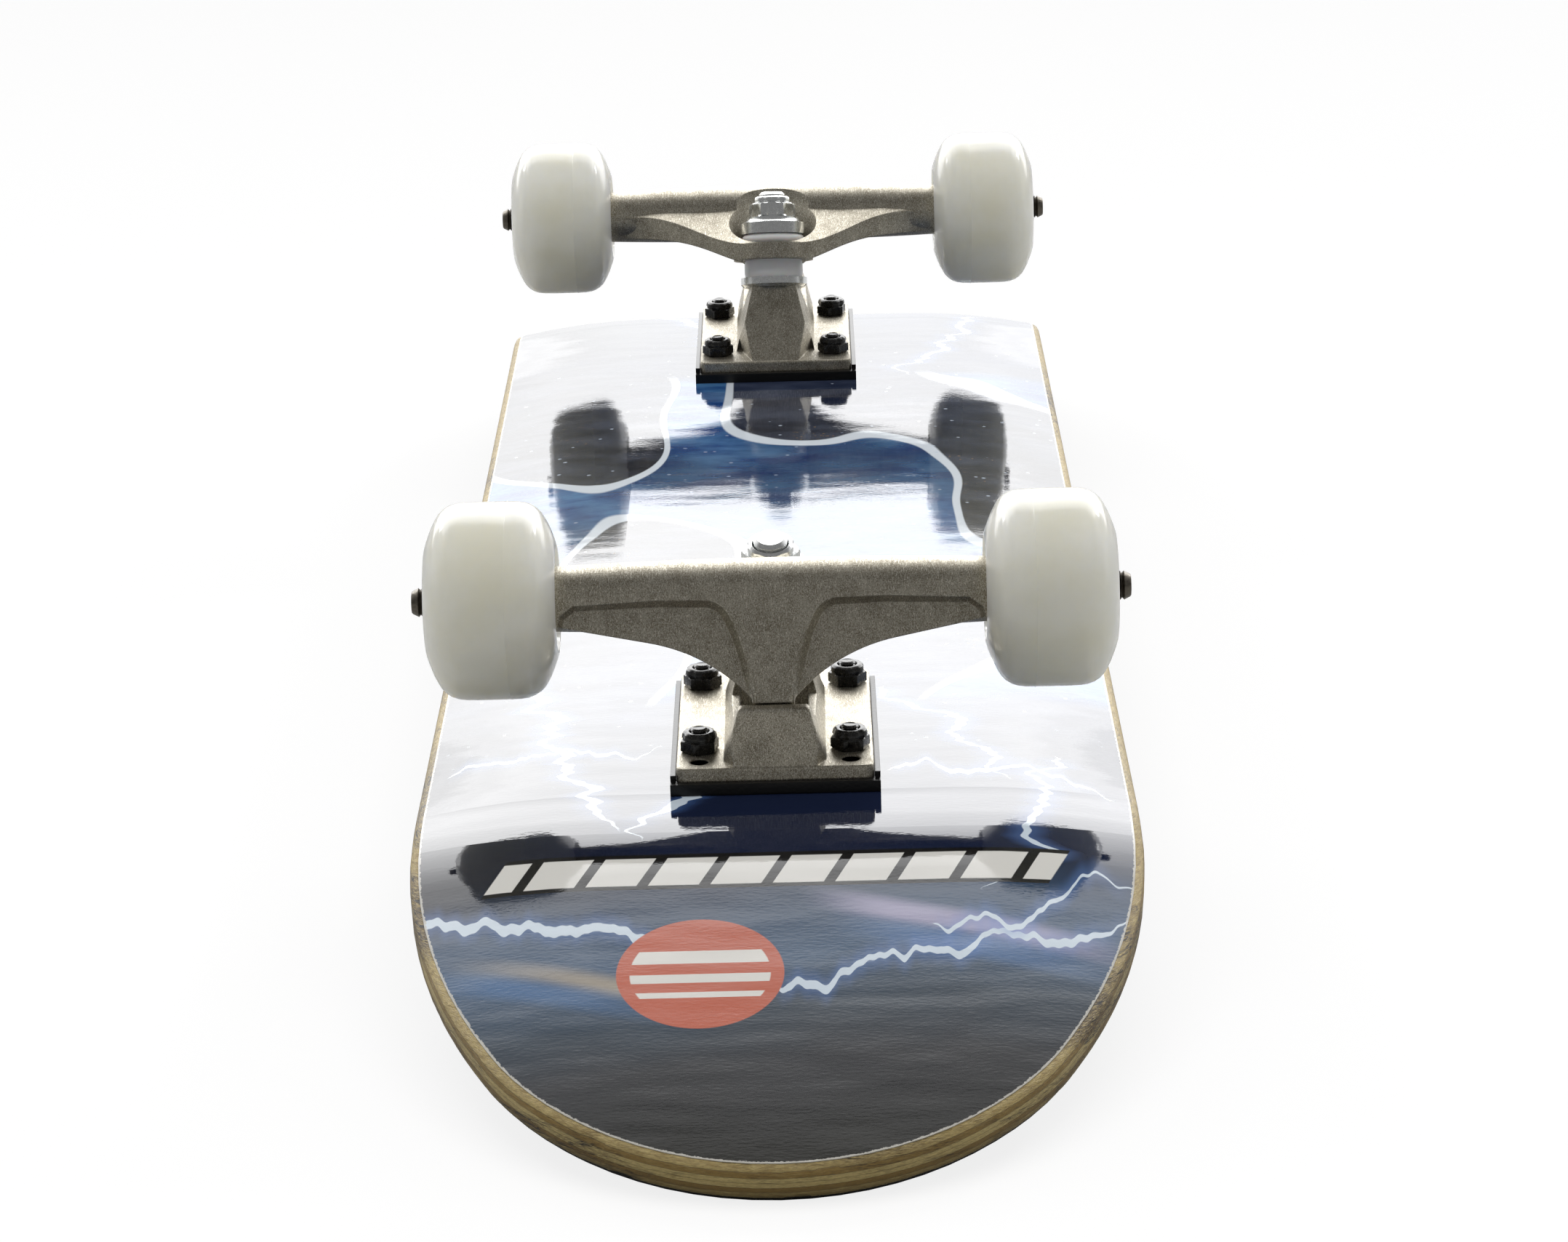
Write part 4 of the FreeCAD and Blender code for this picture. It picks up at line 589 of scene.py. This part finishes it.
# ---------------------------------------------------------------- mounting bolts and nuts
# Eight countersunk bolts come through the deck, the risers and the baseplates.
# Each lock nut is turned, milled to six flats, and crimped round its collar.
BOLT_TIP, BOLT_RADIUS, HEAD_RADIUS = 13.5, 2.4, 4.6
HEAD_BOTTOM, CONE_BOTTOM, THREAD_START = -11.7, -10.85, 5.0
BOLT_PITCH = 0.79
NUT_TURNS = (0.0, 0.17, -0.12, 0.31)
CREASE = math.radians(30)


def turn_about_z(shape, profile, closed=True, steps=48):
    """Turn a line of heights and radii, in millimetres, round the Z axis."""
    ring = [shape.verts.new((radius * MM, 0, height * MM)) for height, radius in profile]
    joined = list(zip(ring, ring[1:] + ring[:1] if closed else ring[1:]))
    edges = [shape.edges.new(pair) for pair in joined]
    bmesh.ops.spin(
        shape, geom=ring + edges, cent=(0, 0, 0), axis=(0, 0, 1), dvec=(0, 0, 0),
        angle=math.tau, steps=steps, use_merge=True,
    )
    bmesh.ops.remove_doubles(shape, verts=shape.verts, dist=1e-6)


def thread(start, stop, radius, pitch):
    """Heights and radii of the ridges of a thread."""
    halves = range(2 * int((stop - start) / pitch) + 1)
    return [(start + pitch * half / 2, radius - 0.55 * pitch * (half % 2)) for half in halves]


def lock_nut(shape, flats, shoulder, height, bore, collar, notch):
    """A lock nut on its face at Z 0: six flats, a groove and a crimped collar."""
    inside, corner = flats / 2, flats / 2 / math.cos(math.pi / 6)
    fall = (corner - inside) * math.tan(math.pi / 6)
    roll = 0.3 * (height - shoulder)
    groove = collar - 0.2
    turn_about_z(shape, [
        (0, bore), (0, inside), (fall, corner),
        (shoulder - 1.15 * fall, corner), (shoulder - 0.5 * fall, (corner + inside) / 2 + 0.1),
        (shoulder, inside - 0.1), (shoulder + 0.05, groove), (shoulder + 0.3, groove),
        (shoulder + 0.45, collar), (height - 1.9 * roll, collar),
        (height - 0.8 * roll, collar - 0.35 * roll), (height - 0.2 * roll, collar - 1.1 * roll),
        (height, collar - 1.8 * roll), (height - 0.1, bore + 0.45), (height - 0.7, bore + 0.1),
    ])
    for vert in shape.verts:
        angle, wide = math.atan2(vert.co.y, vert.co.x), vert.co.xy.length / MM
        if vert.co.z / MM < shoulder + 0.01:
            allowed = inside / math.cos(angle % (math.pi / 3) - math.pi / 6)
            pull = min(1.0, allowed / wide)
        else:
            outer = max(0.0, wide - bore - 0.5) / (collar - bore)
            pull = 1.0 - notch / wide * outer * max(0.0, math.cos(6 * angle)) ** 0.7
        vert.co.x, vert.co.y = vert.co.x * pull, vert.co.y * pull


def set_out(shape, places):
    """Put a copy of the shape at each place and take the first one away."""
    pattern = shape.verts[:] + shape.edges[:] + shape.faces[:]
    first = shape.verts[:]
    for place in places:
        copied = bmesh.ops.duplicate(shape, geom=pattern)["geom"]
        verts = [item for item in copied if isinstance(item, bmesh.types.BMVert)]
        bmesh.ops.transform(shape, matrix=place, verts=verts)
    bmesh.ops.delete(shape, geom=first, context="VERTS")


def finish(shape, name, body, material, replaced):
    """Make the shape a smooth piece with creases, riding on a body in a node's stead.

    A list in place of one body is not used: the piece then stays where it is, on no body.
    """
    bmesh.ops.recalc_face_normals(shape, faces=shape.faces)
    data = bpy.data.meshes.new(name)
    shape.to_mesh(data)
    shape.free()
    data.materials.append(material)
    data.shade_smooth()
    data.set_sharp_from_angle(angle=CREASE)
    piece = bpy.data.objects.new(name, data)
    collection.objects.link(piece)
    if isinstance(body, str):
        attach(piece, body)
    else:
        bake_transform(piece)
    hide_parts(replaced)


def shift(x, y, z):
    return Matrix.Translation((x * MM, y * MM, z * MM))


def truck_place(end):
    """A truck's own origin: on the film, at the middle of its bolts, Y to the tip."""
    turn = Matrix.Rotation(math.pi if end == "nose" else 0, 4, "Z")
    return turn @ shift(0, PATTERN_CENTRE, FILM_TOP / MM)


places = [(side * BOLT_SIDE, row * BOLT_ROW) for side in (-1, 1) for row in (-1, 1)]
for end in ("nose", "tail"):
    bolts = bmesh.new()
    turn_about_z(bolts, [
        (HEAD_BOTTOM, 0), (HEAD_BOTTOM, HEAD_RADIUS), (CONE_BOTTOM, HEAD_RADIUS),
        (CONE_BOTTOM + HEAD_RADIUS - BOLT_RADIUS, BOLT_RADIUS),
    ] + thread(THREAD_START, BOLT_TIP - 0.5, BOLT_RADIUS, BOLT_PITCH) + [
        (BOLT_TIP - 0.1, BOLT_RADIUS - 0.45), (BOLT_TIP, BOLT_RADIUS - 0.7),
        (BOLT_TIP - 0.15, BOLT_RADIUS - 1.1), (BOLT_TIP - 0.15, 0),
    ], closed=False, steps=32)
    set_out(bolts, [truck_place(end) @ shift(x, y, 0) for x, y in places])
    finish(bolts, end + "_bolts", "root", black, end + "_mounting_bolts")

    nuts = bmesh.new()
    lock_nut(
        nuts, flats=9.53, shoulder=3.4, height=5.7, bore=BOLT_RADIUS + 0.05, collar=4.85, notch=0.45
    )
    set_out(nuts, [
        truck_place(end) @ shift(x, y, PLATE_TOP) @ Matrix.Rotation(turn, 4, "Z")
        for (x, y), turn in zip(places, NUT_TURNS)
    ])
    finish(nuts, end + "_bolt_nuts", "root", black, end + "_mounting_nuts")

# ---------------------------------------------------------------- kingpins and axles
# A kingpin's lock nut clamps the bushings; the axle is a threaded rod cast into the
# hanger, with a smaller lock nut outside each wheel.

# In millimetres, the seat and the axle from the truck's own origin and the rest along
# the kingpin and the axle.
PIN_SEAT_Y, PIN_SEAT_Z, PIN_LEAN, PIN_NUT_SEAT = -10.1, 26.7, math.radians(18.0), 25.2
AXLE_Y, AXLE_Z, AXLE_RADIUS, AXLE_PITCH = 16.0, 48.0, 4.0, 1.06
AXLE_THREAD, AXLE_THREAD_END, AXLE_HALF, END_NUT_SEAT = 86.0, 97.6, 98.5, 89.5


def pin_place(end):
    """A kingpin's seat, Z up its axis."""
    return truck_place(end) @ shift(0, PIN_SEAT_Y, PIN_SEAT_Z) @ Matrix.Rotation(-PIN_LEAN, 4, "X")


def axle_place(end):
    """The middle of an axle, still upright."""
    return truck_place(end) @ shift(0, AXLE_Y, AXLE_Z)


for end in ("nose", "tail"):
    body = end + "_axle_assembly"
    nut = bmesh.new()
    lock_nut(nut, flats=14.3, shoulder=5.2, height=7.6, bore=4.8, collar=6.7, notch=0.6)
    set_out(nut, [pin_place(end) @ shift(0, 0, PIN_NUT_SEAT)])
    finish(nut, end + "_pin_nut", "root", zinc, end + "_kingpin_nut")

    rod = bmesh.new()
    half = [(0, AXLE_RADIUS)] + thread(AXLE_THREAD, AXLE_THREAD_END, AXLE_RADIUS, AXLE_PITCH) + [
        (AXLE_HALF - 0.3, AXLE_RADIUS - 0.8), (AXLE_HALF, AXLE_RADIUS - 1.1), (AXLE_HALF - 0.1, 0),
    ]
    turn_about_z(rod, [(-h, r) for h, r in reversed(half[1:])] + half, closed=False, steps=40)
    set_out(rod, [axle_place(end) @ Matrix.Rotation(math.pi / 2, 4, "Y")])
    finish(rod, end + "_axle_rod", body, axle_metal, end + "_axle")

    nuts = bmesh.new()
    lock_nut(nuts, flats=12.7, shoulder=4.2, height=5.6, bore=4.05, collar=6.0, notch=0.5)
    set_out(nuts, [
        axle_place(end) @ Matrix.Rotation(side * math.pi / 2, 4, "Y") @ shift(0, 0, END_NUT_SEAT)
        for side in (-1, 1)
    ])
    finish(nuts, end + "_end_nuts", body, axle_metal, end + "_axle_nuts")

# ---------------------------------------------------------------- bushings
# Two poured urethane bushings on the kingpin clamp the hanger's ring between them.
# Each is held by a cup washer at one end and by the ring at the other, and shears.

# Heights above the kingpin's seat, and radii, in millimetres.
BUSH_CORNER, PIN_BORE, RING_BORE = 0.6, 4.9, 5.5
LOWER_WIDE, LOWER_FOOT, LOWER_LIP, RING_FOOT, LOWER_TOP = 10.25, 2.2, 3.5, 9.7, 11.1
UPPER_WIDE, UPPER_SEAT, UPPER_FOOT, RING_HEAD = 10.9, 10.3, 14.25, 15.65
UPPER_SHOULDER, UPPER_TOP, UPPER_NECK = 19.0, 22.4, 9.05
BULGE = 0.25
for end in ("nose", "tail"):
    pin = pin_place(end)
    bodies = ["root", end + "_axle_assembly"]
    lower = bmesh.new()
    tall = RING_FOOT - LOWER_LIP
    sides = [(LOWER_LIP + tall * t / 4, LOWER_WIDE + BULGE * (t % 4 > 0)) for t in range(5)]
    turn_about_z(lower, [
        (LOWER_FOOT, PIN_BORE), (LOWER_FOOT, LOWER_WIDE - BUSH_CORNER),
        (LOWER_FOOT + BUSH_CORNER, LOWER_WIDE),
    ] + sides + [
        (LOWER_TOP - BUSH_CORNER, LOWER_WIDE), (LOWER_TOP, LOWER_WIDE - BUSH_CORNER),
        (LOWER_TOP, RING_BORE), (RING_FOOT, RING_BORE), (LOWER_LIP, PIN_BORE),
    ])
    set_out(lower, [pin])
    held = [pin @ (Vector((0, 0, height)) * MM) for height in (LOWER_LIP, RING_FOOT)]
    finish(lower, end + "_lower_bush", bodies + held, bush, end + "_lower_bushing")

    upper = bmesh.new()
    foot = RING_HEAD + BUSH_CORNER
    tall = UPPER_SHOULDER - BUSH_CORNER - foot
    sides = [(foot + tall * t / 3, UPPER_WIDE + BULGE * (t % 3 > 0)) for t in range(4)]
    turn_about_z(upper, [
        (UPPER_FOOT, RING_BORE), (UPPER_FOOT, UPPER_SEAT - BUSH_CORNER), (RING_HEAD, UPPER_SEAT),
    ] + sides + [
        (UPPER_SHOULDER, UPPER_WIDE - BUSH_CORNER), (UPPER_SHOULDER, UPPER_NECK),
        (UPPER_TOP, UPPER_NECK), (UPPER_TOP, PIN_BORE), (UPPER_SHOULDER, PIN_BORE),
        (RING_HEAD, RING_BORE),
    ])
    set_out(upper, [pin])
    held = [pin @ (Vector((0, 0, height)) * MM) for height in (UPPER_SHOULDER, RING_HEAD)]
    finish(upper, end + "_upper_bush", bodies + held, bush, end + "_upper_bushing")

# ---------------------------------------------------------------- wheels
# Poured urethane, with a dished face each side that leads to the bearings' seats.
# The halves of the mould meet in a fine ridge round the tread, inside its middle.
WHEEL_MIDDLE = 76.5
RIDGE, RIDGE_HALF, RIDGE_FOOT, RIDGE_TOP = -4.9, 0.2, 27.18, 27.29
# half of a wheel's section, as heights from its middle and radii: bearing seat, dish, tread
WHEEL_FACE = [
    (5.0, 9.5), (5.0, 11.05), (13.0, 11.05), (13.0, 12.0), (17.7, 14.45), (18.0, 14.8),
    (17.92, 15.3), (17.4, 17.0), (16.6, 19.1), (15.8, 21.0), (14.82, 22.8),
    (14.0, 24.1), (12.8, 25.3), (11.3, 26.25), (9.6, 26.83), (7.5, 27.1), (4.0, 27.2),
]
ridge = [(RIDGE - RIDGE_HALF, RIDGE_FOOT), (RIDGE, RIDGE_TOP), (RIDGE + RIDGE_HALF, RIDGE_FOOT)]
section = [(-h, r) for h, r in WHEEL_FACE[:-1]] + ridge + WHEEL_FACE[::-1]
for end in ("nose", "tail"):
    for side, sign in (("left", -1), ("right", 1)):
        wheel = bmesh.new()
        turn_about_z(wheel, section, steps=128)
        centre = axle_place(end).translation.copy()
        centre.x = sign * WHEEL_MIDDLE * MM
        set_out(wheel, [Matrix.Translation(centre) @ Matrix.Rotation(sign * math.pi / 2, 4, "Y")])
        name = end + "_" + side
        finish(wheel, name + "_tyre", name + "_wheel", tyre, name + "_wheel")
